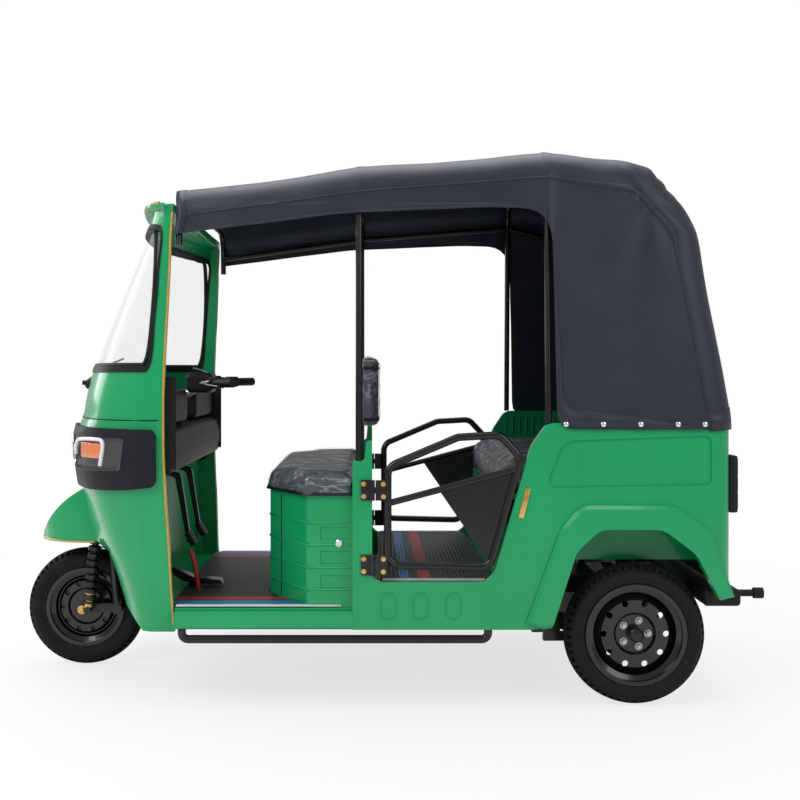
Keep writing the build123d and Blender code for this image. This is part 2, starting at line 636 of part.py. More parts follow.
def add_seats():
    """Driver's seat box and cushion, backrest on its bracket, and the passengers' bench."""
    face = inner_half - 8
    rear = post_rear_x - 40
    box_rows = [
        (SEAT_FRONT_X, -350, 25), (SEAT_FRONT_X + 148, -face, 40), (rear, -face, 0), (rear, face, 0),
        (SEAT_FRONT_X + 148, face, 40), (SEAT_FRONT_X, 350, 25),
    ]
    box = plan_prism(box_rows, CAB_FLOOR_Z, SEAT_BOX_Z)
    # Pressed bands along both sides of the box.
    for band in range(3):
        z = 400 + band * 82
        for side in (-1, 1):
            panel = block(SEAT_FRONT_X + 190, rear - 40, side * face - 4, side * face + 4, z, z + 44)
            box -= panel
    nodes["seat_box"] = box
    over = 14.0
    cushion_rows = [(x + (-over if x < rear else 0), y * (1 + over / face), r) for x, y, r in box_rows]
    cushion = plan_prism(cushion_rows, SEAT_BOX_Z + SEAT_GAP, SEAT_BOX_Z + 76)
    cushion -= block(POST_X - 4, 2000, -BODY_HALF, -inner_half + 4, 0, 2000)
    cushion -= block(POST_X - 4, 2000, inner_half - 4, BODY_HALF, 0, 2000)
    nodes["driver_seat"] = fillet(cushion.faces().sort_by(Axis.Z)[-1].edges(), 24)

    pad_low = 925.0
    pad_high = 1190.0
    back = rear + 8
    bars = []
    for y in (-120.0, 120.0):
        bars.append(block(rear, back, y - 20, y + 20, SEAT_BOX_Z - 120, pad_high - 40))
    nodes["backrest_bracket"] = Compound([solid for bar in bars for solid in bar.solids()])
    pad = block(back + SEAT_GAP, back + 56, -210, 210, pad_low, pad_high)
    nodes["driver_backrest"] = fillet(pad.edges(), 18)

    half = inner_half - SEAT_GAP
    tail_inside = TAIL_X - WALL - SEAT_GAP
    deck_under = BENCH_Z - BENCH_T
    bench_rows = [
        (BENCH_X, REAR_FLOOR_Z - FLOOR_T, 0), (BENCH_X + 20, REAR_FLOOR_Z - FLOOR_T, 0), (BENCH_X + 52, deck_under, 0),
        (tail_inside, deck_under, 0), (tail_inside, BENCH_Z, 0), (BENCH_X + 36, BENCH_Z, 12),
    ]
    tub_inside = extrude(tub_plan(WALL + SEAT_GAP, POST_X), 1200)
    nodes["rear_bench"] = side_prism(bench_rows, -half, half) & tub_inside
    seat = block(BENCH_X + 24, BENCH_X + 460, -half + 12, half - 12, BENCH_Z + SEAT_GAP, BENCH_Z + 112)
    nodes["rear_seat"] = fillet(seat.edges().filter_by(Axis.Z) + seat.faces().sort_by(Axis.Z)[-1].edges(), 30)
    back_rows = [
        (BENCH_X + 464, BENCH_Z + SEAT_GAP, 0), (BENCH_X + 574, BENCH_Z + SEAT_GAP, 0),
        (BENCH_X + 690, BENCH_Z + 560, 40), (BENCH_X + 590, BENCH_Z + 560, 40),
    ]
    nodes["rear_backrest"] = side_prism(back_rows, -half + 18, half - 18)

    wall = 10.0
    house = block(BENCH_X + 90, tail_inside, -HOUSE_Y, -HOUSE_Y + wall, HOUSE_Z, deck_under)
    nodes["wheelhouses"] = both(house)


def arch_opening():
    """Rear wheel opening in side view: station, height and rounding."""
    return [
        (WHEELBASE - 332, 150, 0), (WHEELBASE - 210, 530, 60), (WHEELBASE - 130, 604, 60), (WHEELBASE + 80, 604, 90),
        (WHEELBASE + 190, 520, 90), (WHEELBASE + 330, 250, 0), (WHEELBASE + 330, 150, 0),
    ]


def tub_plan(inset, front):
    """Plan of the body behind the driver, drawn in by an inset: straight sides and rounded tail corners."""
    half = BODY_HALF - inset
    tail = TAIL_X - inset
    radius = TAIL_CORNER - inset
    return outline([(front, -half, 0), (tail, -half, radius), (tail, half, radius), (front, half, 0)])


def add_tub():
    """Body sides with sill, door opening and wheel arch, and the panel across the tail."""
    wall = extrude(tub_plan(0, POST_X) - tub_plan(WALL, POST_X - 50), 1200)
    side_rows = [
        (POST_X, SILL_Z, 0), (POST_X, POST_TOP_Z, 6), (POST_X + 40, POST_TOP_Z, 12), (POST_X + 46, STRIKE_Z, 10),
        (post_rear_x, STRIKE_Z, 10), (post_rear_x, REAR_FLOOR_Z, 36), (BENCH_X - 10, REAR_FLOOR_Z, 60),
        (BENCH_X + 122, 880, 90), (BENCH_X + 176, TUB_TOP_Z, 50), (TAIL_X + 10, TUB_TOP_Z, 0), (TAIL_X + 10, TAIL_Z, 0),
        (TAIL_X - WALL - 20, TAIL_Z, 0), (WHEELBASE + 270, SKIRT_Z, 0), (WHEELBASE - 360, SILL_Z, 0),
    ]
    far = BODY_HALF + 100
    tub = wall & side_prism(side_rows, -far, far)
    tub -= side_prism(arch_opening(), -far, far)
    left = tub & block(0, 5000, -far, -470, 0, 3000)
    nodes["rear_panel"] = tub & block(0, 5000, -470, 470, 0, 3000)

    flare_rows = [
        (WHEELBASE - 380, 287, 0), (WHEELBASE - 262, 606, 70), (WHEELBASE - 196, 684, 70), (WHEELBASE + 120, 684, 100),
        (WHEELBASE + 240, 600, 100), (TAIL_X - 6, SKIRT_Z + 12, 0), (WHEELBASE + 270, SKIRT_Z, 0),
        (WHEELBASE - 320, 270, 0),
    ]
    flare = side_prism(flare_rows, -BODY_HALF - FLARE, -BODY_HALF)
    flare = chamfer(flare.faces().sort_by(Axis.Y)[0].edges(), 12)
    flare -= side_prism(arch_opening(), -far, far)
    left += flare
    # Oval pressings along the sill: stations of their middles.
    for x in (1160.0, 1268.0, 1378.0):
        oval = Pos(x, -BODY_HALF, 346) * Rot(90, 0, 0) * extrude(SlotOverall(92, 54, rotation=90), 4, both=True)
        left -= oval
    # Sunk panel on the quarter.
    panel_rows = [(BENCH_X + 170, 742, 25), (BENCH_X + 230, 900, 60), (TAIL_X - 80, 918, 20), (TAIL_X - 80, 752, 20)]
    left -= side_prism(panel_rows, -BODY_HALF - 1, -BODY_HALF + 6)
    nodes["side_panel_left"] = left
    nodes["side_panel_right"] = right_of(left)

    lamp = block(TAIL_X, TAIL_X + 34, -570, -480, 650, 845)
    lamp = fillet(lamp.faces().sort_by(Axis.X)[-1].edges(), 12)
    nodes["tail_lamps"] = both(lamp & block(0, 5000, -560, -478, 0, 3000))

    bumper_top = REAR_FLOOR_Z - FLOOR_T - 12
    bumper = block(BUMPER_X, TAIL_X + 42, -560, 560, bumper_top - 58, bumper_top)
    bumper = fillet(bumper.edges().filter_by(Axis.Y), 14)
    bumper = fillet(bumper.faces().sort_by(Axis.X)[-1].edges().filter_by(Axis.Z), 12)
    stay_y = 480.0
    stay_z = bumper_top - 26
    for side in (-1, 1):
        bumper += rod((TAIL_X + 20, side * stay_y, stay_z), (TAIL_X + 112, side * stay_y, stay_z), 12)
        bumper += rod((TAIL_X + 108, side * stay_y, stay_z), (TAIL_X + 140, side * stay_y, stay_z), 19)
    nodes["rear_bumper"] = bumper


def add_steps():
    """Round step bars under both sills."""
    y = -inner_half - 10
    front = CAB_REAR_X + 30
    rear = BENCH_X - 20
    drop = 34.0
    top = SILL_Z - SEAT_GAP
    points = [(front, y, top), (front, y, top - drop), (rear, y, top - drop), (rear, y, top)]
    nodes["side_steps"] = both(bent_tube(points, 22, 14))


# Doors

def hinge_door_side(z):
    """The leaf and middle knuckle that move with the left door."""
    middle = HINGE_H / 3 - 2 * HINGE_GAP
    knuckle = rod((post_rear_x, -hinge_y, z - middle / 2), (post_rear_x, -hinge_y, z + middle / 2), HINGE_R)
    leaf = block(post_rear_x, post_rear_x + DOOR_POST, -hinge_y - HINGE_LEAF_T / 2, -hinge_y + HINGE_LEAF_T / 2,
                 z - middle / 2, z + middle / 2)
    plate = block(post_rear_x + HINGE_R + 2, post_rear_x + DOOR_POST, -hinge_y - HINGE_LEAF_T / 2,
                  -hinge_y + HINGE_LEAF_T / 2, z - HINGE_H / 2, z + HINGE_H / 2)
    bore = rod((post_rear_x, -hinge_y, z - HINGE_H), (post_rear_x, -hinge_y, z + HINGE_H), HINGE_PIN_R + SHAFT_GAP)
    return (knuckle + leaf + plate) - bore


def hinge_post_side(z):
    """The fixed leaf, its two knuckles and the pin on the left door post."""
    pin = rod((post_rear_x, -hinge_y, z - HINGE_H / 2), (post_rear_x, -hinge_y, z + HINGE_H / 2), HINGE_PIN_R)
    plate = block(post_rear_x - HINGE_LEAF_W, post_rear_x - HINGE_R - 2, -BODY_HALF - HINGE_LEAF_T, -BODY_HALF,
                  z - HINGE_H / 2, z + HINGE_H / 2)
    part = pin + plate
    for side in (-1, 1):
        far = z + side * HINGE_H / 2
        near = z + side * HINGE_H / 6
        low = min(near, far)
        high = max(near, far)
        part += rod((post_rear_x, -hinge_y, low), (post_rear_x, -hinge_y, high), HINGE_R)
        part += block(post_rear_x - HINGE_LEAF_W, post_rear_x, -BODY_HALF - HINGE_LEAF_T, -BODY_HALF, low, high)
    return part


def add_doors():
    """Tube doors with a sheet across the lower rear corner, hung on the post behind the driver."""
    post_x = post_rear_x + DOOR_POST
    top_rows = [
        (post_x, 484), (post_x, 812), (1394, 912), (1534, 920), (1604, 846), (1500, 476),
    ]
    y = -hinge_y + HINGE_LEAF_T / 2 + DOOR_TUBE_R - 6
    loop = [(x, y, z) for x, z in top_rows]
    first = bent_tube(loop, 45, DOOR_TUBE_R, closed=True)
    mid = rod((post_x, y, 690), (1585, y, 804), DOOR_TUBE_R - 2)
    sheet_rows = [(1330, 735, 0), (1585, 804, 0), (1590, 796, 0), (1502, 484, 0)]
    sheet = side_prism(sheet_rows, y - DOOR_SHEET_T / 2, y + DOOR_SHEET_T / 2)
    door = first + mid + sheet
    for z in HINGE_LEVELS:
        door += hinge_door_side(z)
    nodes["door_left"] = door
    nodes["door_right"] = right_of(door)
    leaves = hinge_post_side(HINGE_LEVELS[0]) + hinge_post_side(HINGE_LEVELS[1])
    nodes["hinge_leaves"] = both(leaves)


# Canopy

def roof_height(x):
    """Height of the roof line at a station, on its straight runs."""
    for (x0, z0, r0), (x1, z1, r1) in zip(ROOF_LINE, ROOF_LINE[1:]):
        if x <= x1:
            return z0 + (z1 - z0) * (x - x0) / (x1 - x0)
    return ROOF_LINE[-1][1]


def side_half(z):
    """Half width of the canopy's outside at a height."""
    return CANOPY_HALF - CANOPY_LEAN * (z - TUB_TOP_Z)


def canopy_form(inset, open_by=0.0):
    """The canopy's outer form, drawn in by an inset and run past its open sides."""
    hem = TUB_TOP_Z - CANOPY_HEM - open_by
    front = ROOF_LINE[0][0] - open_by
    tail = TAIL_X + CANOPY_T + SEAT_GAP - inset
    rows = [(front, hem, 0), (front, ROOF_LINE[0][1] - inset, 0)]
    rows += [(x - (inset if x > WHEELBASE else 0), z - inset, r - inset) for x, z, r in ROOF_LINE[1:]]
    rows += [(tail, TUB_TOP_Z, 0), (tail, hem, 0)]
    low = hem - 20
    high = 2100.0
    section = [
        (-side_half(low) + inset, low, 0), (side_half(low) - inset, low, 0), (side_half(high) - inset, high, 0),
        (-side_half(high) + inset, high, 0),
    ]
    across = extrude(Plane.YZ * outline(section), 4000)
    form = side_prism(rows, -2 * BODY_HALF, 2 * BODY_HALF) & across
    top = [e for e in form.edges() if e.center().Z > ROOF_LINE[0][1] - 200 and abs(e.center().Y) > 300]
    rear = [e for e in form.edges() if e.center().X > WHEELBASE and abs(e.center().Y) > 300 and e.length > 100]
    edges = ShapeList(set(top + rear))
    return form, edges


def add_canopy():
    """Cover over its tube hoops, open at the driver's and passengers' sides."""
    outer, outer_edges = canopy_form(0)
    outer_long = [e for e in outer_edges if not is_upright(e)]
    inner, inner_edges = canopy_form(CANOPY_T, 60)
    inner_long = [e for e in inner_edges if not is_upright(e)]
    outer = fillet(outer_long, SHOULDER_R)
    inner = fillet(inner_long, SHOULDER_R - CANOPY_T)
    opening_rows = [
        (300, 800, 0), (300, 1584, 0), (450, 1597, 0), (1000, 1665, 120), (1500, 1686, 120), (1690, 1682, 110),
        (1727, 800, 0),
    ]
    far = 2 * BODY_HALF
    nodes["canopy"] = (outer - inner) - side_prism(opening_rows, -far, far)

    # Hoops: station and foot height.
    hoops = [
        (ROOF_LINE[0][0] + FRAME_R + 4, 1560.0), (ROOF_LINE[1][0], POST_TOP_Z + FOOT_GAP),
        (ROOF_LINE[2][0], TUB_TOP_Z + FOOT_GAP),
    ]
    tail_x = ROOF_LINE[4][0] - 60
    tail_half = side_half(TAIL_BAR_Z) - 40
    frame = cross_bar(tail_x, TAIL_BAR_Z, tail_half, FRAME_R)
    for x, foot in hoops:
        top = roof_height(x) - CANOPY_T - FRAME_R - HOOP_GAP
        low_y = min(side_half(foot) - CANOPY_T - FRAME_R - 2, BODY_HALF - WALL / 2)
        high_y = side_half(top) - CANOPY_T - FRAME_R - 14
        points = [(x, -low_y, foot), (x, -high_y, top), (x, high_y, top), (x, low_y, foot)]
        frame += bent_tube(points, 105, FRAME_R)
    rail_drop = 130.0
    for side in (-1, 1):
        ends = []
        for x, foot in hoops:
            z = roof_height(x) - rail_drop
            ends.append((x, side * (side_half(z) - CANOPY_T - FRAME_R - 12), z))
        frame += rod(ends[0], ends[1], FRAME_R - 1)
        frame += rod(ends[1], ends[2], FRAME_R - 1)
        tail_top = (tail_x, side * tail_half, TAIL_BAR_Z)
        tail_foot = (TAIL_X - TAIL_CORNER - 20, side * (BODY_HALF - WALL / 2), TUB_TOP_Z + 2)
        frame += rod(ends[2], tail_top, FRAME_R - 1)
        frame += rod(tail_top, tail_foot, FRAME_R - 1)
    nodes["canopy_frame"] = frame


def is_upright(edge):
    """Whether an edge runs across the vehicle or ends the canopy at its hem."""
    direction = (edge @ 1) - (edge @ 0)
    return abs(direction.Y) > 0.5 * edge.length


add_wheels()
add_steering()
add_cab()
add_front_inside()
add_chassis()
add_floor()
add_seats()
add_tub()
add_steps()
add_doors()
add_canopy()

boxes = [shape.bounding_box() for shape in nodes.values()]
middle_x = (min(b.min.X for b in boxes) + max(b.max.X for b in boxes)) / 2
os.makedirs("parts", exist_ok=True)
for name, shape in nodes.items():
    export_step(Pos(-middle_x, 0, 0) * shape, f"parts/{name}.step")

print("front axle", -middle_x, front_axle_z)
print("rear axle", WHEELBASE - middle_x, REAR_TRACK / 2, rear_axle_z)
print("steering", STEER_X - middle_x, STEER_Z, STEER_RAKE)
print("door hinge", post_rear_x - middle_x, hinge_y)
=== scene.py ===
import json
from math import cos, exp, pi, radians, sin

import bmesh
import bpy
from mathutils import Matrix, Vector, noise
from mathutils.bvhtree import BVHTree


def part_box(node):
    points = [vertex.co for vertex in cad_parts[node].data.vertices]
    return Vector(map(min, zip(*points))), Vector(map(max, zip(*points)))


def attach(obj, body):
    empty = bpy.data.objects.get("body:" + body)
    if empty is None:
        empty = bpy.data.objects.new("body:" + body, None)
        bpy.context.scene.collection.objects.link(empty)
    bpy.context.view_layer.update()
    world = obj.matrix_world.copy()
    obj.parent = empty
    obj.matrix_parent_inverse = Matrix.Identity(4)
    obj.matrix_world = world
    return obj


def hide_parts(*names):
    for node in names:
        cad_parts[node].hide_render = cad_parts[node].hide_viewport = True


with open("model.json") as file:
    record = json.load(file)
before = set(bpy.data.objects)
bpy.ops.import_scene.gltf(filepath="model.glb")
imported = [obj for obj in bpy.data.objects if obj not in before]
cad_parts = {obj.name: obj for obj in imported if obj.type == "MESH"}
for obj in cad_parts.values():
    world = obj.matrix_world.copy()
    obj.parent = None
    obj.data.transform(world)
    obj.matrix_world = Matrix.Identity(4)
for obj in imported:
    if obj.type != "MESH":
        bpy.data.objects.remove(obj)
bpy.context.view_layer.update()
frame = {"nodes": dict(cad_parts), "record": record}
nodes = frame["nodes"]
LEFT_RIGHT = (-1, 1)
SIDE_NAME = {-1: "left", 1: "right"}


# Finishes

def finish(name, colour, rough, metal=0.0, coat=0.0, alpha=1.0, sheen=0.0, vary=(6.0, 0.0),
           grain=(400.0, 0.0), waves=(0.0, 0.0), rough_vary=0.0, specular=0.5):
    """A surface with uneven colour, uneven gloss and a grain, all on Object coordinates."""
    material = bpy.data.materials.new(name)
    material.use_nodes = True
    tree = material.node_tree
    skin = tree.nodes["Principled BSDF"]
    skin.inputs["Base Color"].default_value = (*colour, 1.0)
    skin.inputs["Roughness"].default_value = rough
    skin.inputs["Metallic"].default_value = metal
    skin.inputs["Coat Weight"].default_value = coat
    skin.inputs["Coat Roughness"].default_value = 0.06
    skin.inputs["Alpha"].default_value = alpha
    skin.inputs["Sheen Weight"].default_value = sheen
    skin.inputs["Specular IOR Level"].default_value = specular
    place = tree.nodes.new("ShaderNodeTexCoord")
    if vary[1]:
        cloud = tree.nodes.new("ShaderNodeTexNoise")
        cloud.inputs["Scale"].default_value = vary[0]
        cloud.inputs["Detail"].default_value = 4.0
        tree.links.new(place.outputs["Object"], cloud.inputs["Vector"])
        ramp = tree.nodes.new("ShaderNodeValToRGB")
        ramp.color_ramp.elements[0].position = 0.3
        ramp.color_ramp.elements[1].position = 0.7
        ramp.color_ramp.elements[0].color = (*[c * (1 - vary[1]) for c in colour], 1.0)
        ramp.color_ramp.elements[1].color = (*[min(1.0, c * (1 + vary[1])) for c in colour], 1.0)
        tree.links.new(cloud.outputs["Fac"], ramp.inputs["Fac"])
        tree.links.new(ramp.outputs["Color"], skin.inputs["Base Color"])
        if rough_vary:
            gloss = tree.nodes.new("ShaderNodeMapRange")
            gloss.inputs["To Min"].default_value = max(0.02, rough - rough_vary)
            gloss.inputs["To Max"].default_value = min(1.0, rough + rough_vary)
            tree.links.new(cloud.outputs["Fac"], gloss.inputs["Value"])
            tree.links.new(gloss.outputs["Result"], skin.inputs["Roughness"])
    normal = None
    if waves[1]:
        ripple = tree.nodes.new("ShaderNodeTexNoise")
        ripple.inputs["Scale"].default_value = waves[0]
        ripple.inputs["Detail"].default_value = 3.0
        tree.links.new(place.outputs["Object"], ripple.inputs["Vector"])
        swell = tree.nodes.new("ShaderNodeBump")
        swell.inputs["Strength"].default_value = 0.6
        swell.inputs["Distance"].default_value = waves[1]
        tree.links.new(ripple.outputs["Fac"], swell.inputs["Height"])
        normal = swell
    if grain[1]:
        pebble = tree.nodes.new("ShaderNodeTexVoronoi")
        pebble.inputs["Scale"].default_value = grain[0]
        tree.links.new(place.outputs["Object"], pebble.inputs["Vector"])
        tooth = tree.nodes.new("ShaderNodeBump")
        tooth.inputs["Strength"].default_value = 0.5
        tooth.inputs["Distance"].default_value = grain[1]
        tree.links.new(pebble.outputs["Distance"], tooth.inputs["Height"])
        if normal:
            tree.links.new(normal.outputs["Normal"], tooth.inputs["Normal"])
        normal = tooth
    if normal:
        tree.links.new(normal.outputs["Normal"], skin.inputs["Normal"])
    return material


# A wave texture of scale 1 repeats every 0.314 m.
WAVE_PERIOD = 0.314


def banded(name, colour, bands, axis, rough, rib, rib_depth):
    """A ribbed mat in one colour with coloured bands along its length: low edge, high edge and colour."""
    material = finish(name, colour, rough)
    tree = material.node_tree
    skin = tree.nodes["Principled BSDF"]
    place = tree.nodes.new("ShaderNodeTexCoord")
    split = tree.nodes.new("ShaderNodeSeparateXYZ")
    tree.links.new(place.outputs["Object"], split.inputs["Vector"])
    last = None
    for low, high, band in bands:
        inside = tree.nodes.new("ShaderNodeMath")
        inside.operation = "COMPARE"
        inside.inputs[1].default_value = (low + high) / 2
        inside.inputs[2].default_value = (high - low) / 2
        tree.links.new(split.outputs[axis], inside.inputs[0])
        mix = tree.nodes.new("ShaderNodeMixRGB")
        mix.inputs["Color1"].default_value = (*colour, 1.0)
        mix.inputs["Color2"].default_value = (*band, 1.0)
        if last:
            tree.links.new(last.outputs["Color"], mix.inputs["Color1"])
        tree.links.new(inside.outputs["Value"], mix.inputs["Fac"])
        last = mix
    tree.links.new(last.outputs["Color"], skin.inputs["Base Color"])
    ribs = tree.nodes.new("ShaderNodeTexWave")
    ribs.bands_direction = axis
    ribs.inputs["Scale"].default_value = WAVE_PERIOD / rib
    tree.links.new(place.outputs["Object"], ribs.inputs["Vector"])
    relief = tree.nodes.new("ShaderNodeBump")
    relief.inputs["Strength"].default_value = 0.8
    relief.inputs["Distance"].default_value = rib_depth
    tree.links.new(ribs.outputs["Fac"], relief.inputs["Height"])
    tree.links.new(relief.outputs["Normal"], skin.inputs["Normal"])
    return material


RED_BAND = (0.42, 0.02, 0.02)
BLUE_BAND = (0.02, 0.17, 0.42)
MAT_GREY = (0.020, 0.021, 0.024)
green_paint = finish("green_paint", (0.008, 0.33, 0.115), 0.22, coat=0.22, vary=(3.0, 0.06),
                     waves=(14.0, 0.0005), specular=0.3)
black_paint = finish("black_paint", (0.006, 0.006, 0.007), 0.28, coat=0.25, vary=(20.0, 0.2),
                     waves=(60.0, 0.0003), specular=0.35)
wheel_paint = finish("wheel_paint", (0.005, 0.005, 0.006), 0.2, coat=0.4, vary=(20.0, 0.2), specular=0.4)
canopy_vinyl = finish("canopy_vinyl", (0.012, 0.019, 0.031), 0.44, sheen=0.03, vary=(5.0, 0.18),
                      specular=0.4, grain=(900.0, 0.0004), waves=(7.0, 0.004), rough_vary=0.08)
seat_vinyl = finish("seat_vinyl", (0.009, 0.012, 0.020), 0.36, vary=(9.0, 0.2), grain=(700.0, 0.0005),
                    rough_vary=0.08, specular=0.4)
black_plastic = finish("black_plastic", (0.009, 0.010, 0.013), 0.5, vary=(12.0, 0.15),
                       grain=(1500.0, 0.0003), specular=0.22)
rubber = finish("rubber", (0.006, 0.0065, 0.008), 0.55, vary=(25.0, 0.2), specular=0.25)
tyre_rubber = finish("tyre_rubber", (0.006, 0.0065, 0.008), 0.6, vary=(30.0, 0.25),
                     grain=(1200.0, 0.0004), specular=0.22)
screen_glass = finish("screen_glass", (0.82, 0.86, 0.87), 0.03, alpha=0.09, coat=0.2)
lens_glass = finish("lens_glass", (0.85, 0.88, 0.9), 0.04, alpha=0.07, coat=0.4)
chrome = finish("chrome", (0.78, 0.78, 0.8), 0.1, metal=1.0)
steel = finish("steel", (0.5, 0.5, 0.51), 0.32, metal=1.0, vary=(40.0, 0.15))
gold_zinc = finish("gold_zinc", (0.72, 0.46, 0.14), 0.32, metal=1.0, vary=(60.0, 0.2))
gold_trim = finish("gold_trim", (0.50, 0.31, 0.035), 0.32, coat=0.4, vary=(30.0, 0.1))
cast_alloy = finish("cast_alloy", (0.3, 0.31, 0.32), 0.5, metal=0.7, vary=(15.0, 0.2), grain=(500.0, 0.0006))
amber = finish("amber", (0.80, 0.17, 0.01), 0.15, coat=0.5)
white_lamp = finish("white_lamp", (0.80, 0.82, 0.86), 0.15, coat=0.4)
red_lens = finish("red_lens", (0.22, 0.006, 0.008), 0.12, coat=0.6)
red_rubber = finish("red_rubber", (0.45, 0.015, 0.015), 0.4, vary=(30.0, 0.1))
pale_edge = finish("pale_edge", (0.60, 0.62, 0.62), 0.3, vary=(20.0, 0.08))
dial_glass = finish("dial_glass", (0.01, 0.012, 0.014), 0.08, coat=0.6)
cab_mat = banded("cab_mat", MAT_GREY, [
    (-0.572, -0.512, BLUE_BAND), (-0.498, -0.445, RED_BAND),
    (0.445, 0.498, RED_BAND), (0.512, 0.572, BLUE_BAND),
], "Y", 0.5, 0.012, 0.0015)
rear_mat = banded("rear_mat", MAT_GREY, [
    (0.078, 0.112, BLUE_BAND), (0.145, 0.185, RED_BAND),
], "X", 0.5, 0.014, 0.0015)


def wrapping():
    """Clear film with painted highlights: its pale colour shows faintly between noise streaks and strongly
    along them, standing in for the glints on its creases.
    """
    # The pale blue-white base colour is painted highlight: it lightens the dark seat the way glints on the film
    # do.
    material = finish("clear_film_painted_glints", (0.62, 0.69, 0.76), 0.12, coat=0.8, waves=(30.0, 0.012))
    tree = material.node_tree
    place = tree.nodes.new("ShaderNodeTexCoord")
    stretch = tree.nodes.new("ShaderNodeMapping")
    stretch.inputs["Scale"].default_value = (0.45, 1.5, 1.3)
    tree.links.new(place.outputs["Object"], stretch.inputs["Vector"])
    glint_streaks = tree.nodes.new("ShaderNodeTexNoise")
    glint_streaks.inputs["Scale"].default_value = 11.0
    glint_streaks.inputs["Detail"].default_value = 2.5
    glint_streaks.inputs["Distortion"].default_value = 0.6
    tree.links.new(stretch.outputs["Vector"], glint_streaks.inputs["Vector"])
    ramp = tree.nodes.new("ShaderNodeValToRGB")
    stops = ramp.color_ramp.elements
    # Alpha of the pale colour between the streaks and along them: the streaks are painted glints, not marks on
    # the film.
    between = (0.10, 0.10, 0.10, 1)
    along = (0.34, 0.34, 0.34, 1)
    stops[0].position = 0.468
    stops[0].color = between
    stops[1].position = 0.532
    stops[1].color = between
    stops.new(0.5).color = along
    tree.links.new(glint_streaks.outputs["Fac"], ramp.inputs["Fac"])
    tree.links.new(ramp.outputs["Color"], tree.nodes["Principled BSDF"].inputs["Alpha"])
    return material


clear_film_painted_glints = wrapping()

FINISH_OF_SLOT = {
    "green_paint": green_paint, "black_paint": black_paint, "plated_steel": steel,
    "black_plastic": black_plastic, "rubber": rubber, "tyre": tyre_rubber, "glass": screen_glass,
    "lamp_lens": lens_glass, "tail_lens": red_lens, "seat_vinyl": seat_vinyl, "canopy_vinyl": canopy_vinyl,
    "cast_alloy": cast_alloy,
}


def dress_nodes():
    """Give every solid of the frame the finish of its slot."""
    for row in frame["record"]["subparts"]:
        node = nodes[row["node"]]
        node.data.materials.clear()
        node.data.materials.append(FINISH_OF_SLOT[row["material_slot"]])
    for name in ("front_rim", "rear_rim_left", "rear_rim_right"):
        nodes[name].data.materials[0] = wheel_paint


# Tools for pieces

def mesh_of(name, bm):
    """A named mesh from a bmesh, which is freed."""
    mesh = bpy.data.meshes.new(name)
    bm.to_mesh(mesh)
    bm.free()
    return mesh


def put(name, data):
    """A named object in the scene that holds the data."""
    obj = bpy.data.objects.new(name, data)
    bpy.context.scene.collection.objects.link(obj)
    return obj


def piece(name, bm, material, body="chassis", sharp=35.0):
    """Turn a bmesh into a named piece that rides on a body."""
    bmesh.ops.remove_doubles(bm, verts=bm.verts, dist=1e-6)
    bmesh.ops.recalc_face_normals(bm, faces=bm.faces)
    mesh = mesh_of(name, bm)
    mesh.shade_smooth()
    mesh.set_sharp_from_angle(angle=radians(sharp))
    mesh.materials.append(material)
    obj = put(name, mesh)
    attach(obj, body)
    return obj


def slab(bm, low, high, edge, segments=2, turn=None):
    """A box with rounded edges between two corners, turned about its middle if asked."""
    middle = (Vector(low) + Vector(high)) / 2
    size = Vector(high) - Vector(low)
    place = Matrix.Translation(middle) @ (turn or Matrix.Identity(4)) @ Matrix.Diagonal((*size, 1.0))
    made = bmesh.ops.create_cube(bm, size=1.0, matrix=place)
    edges = {e for v in made["verts"] for e in v.link_edges}
    bmesh.ops.bevel(bm, geom=list(edges), offset=edge, offset_type="OFFSET", segments=segments, profile=0.5,
                    affect="EDGES", material=-1, clamp_overlap=True)


def side_slab(bm, side, xs, ys, zs, edge, segments=2, turn=None):
    """A slab on one side, from pairs of stations, distances from the middle line and heights."""
    y0, y1 = sorted(side * y for y in ys)
    slab(bm, (xs[0], y0, zs[0]), (xs[1], y1, zs[1]), edge, segments, turn)


def block_at(bm, middle, reach, edge, segments, turn):
    """A slab about its middle, reaching as far each way along X, Y and Z."""
    slab(bm, middle - Vector(reach), middle + Vector(reach), edge, segments, turn)


def turned(bm, rows, place, steps=32):
    """A turned form from rows of radius and height, about the local Z axis of a placing matrix."""
    verts = [bm.verts.new((radius, 0.0, height)) for radius, height in rows]
    edges = [bm.edges.new(pair) for pair in zip(verts, verts[1:])]
    made = bmesh.ops.spin(bm, geom=verts + edges, cent=(0, 0, 0), axis=(0, 0, 1), angle=2 * pi, steps=steps,
                          use_merge=True)
    new = set(verts) | {v for v in made["geom_last"] if isinstance(v, bmesh.types.BMVert)}
    grown = set(new)
    while new:
        new = {e.other_vert(v) for v in new for e in v.link_edges} - grown
        grown |= new
    bmesh.ops.transform(bm, matrix=place, verts=list(grown))


def turn_between(before, after):
    """The turn that takes one direction to another."""
    return Vector(before).rotation_difference(Vector(after)).to_matrix().to_4x4()


def facing(point, direction):
    """A placing matrix at a point whose local Z runs along a direction."""
    return Matrix.Translation(Vector(point)) @ turn_between((0, 0, 1), direction)


def bolt(bm, point, direction, radius, height):
    """A hexagon bolt head with a washer under it."""
    place = facing(point, direction)
    turned(bm, [(0, 0), (radius * 1.35, 0), (radius * 1.35, height * 0.2), (0, height * 0.2)], place, 20)
    turned(bm, [(0, height * 0.2), (radius, height * 0.2), (radius, height * 0.85), (radius * 0.8, height),
                (0, height)], place, 6)


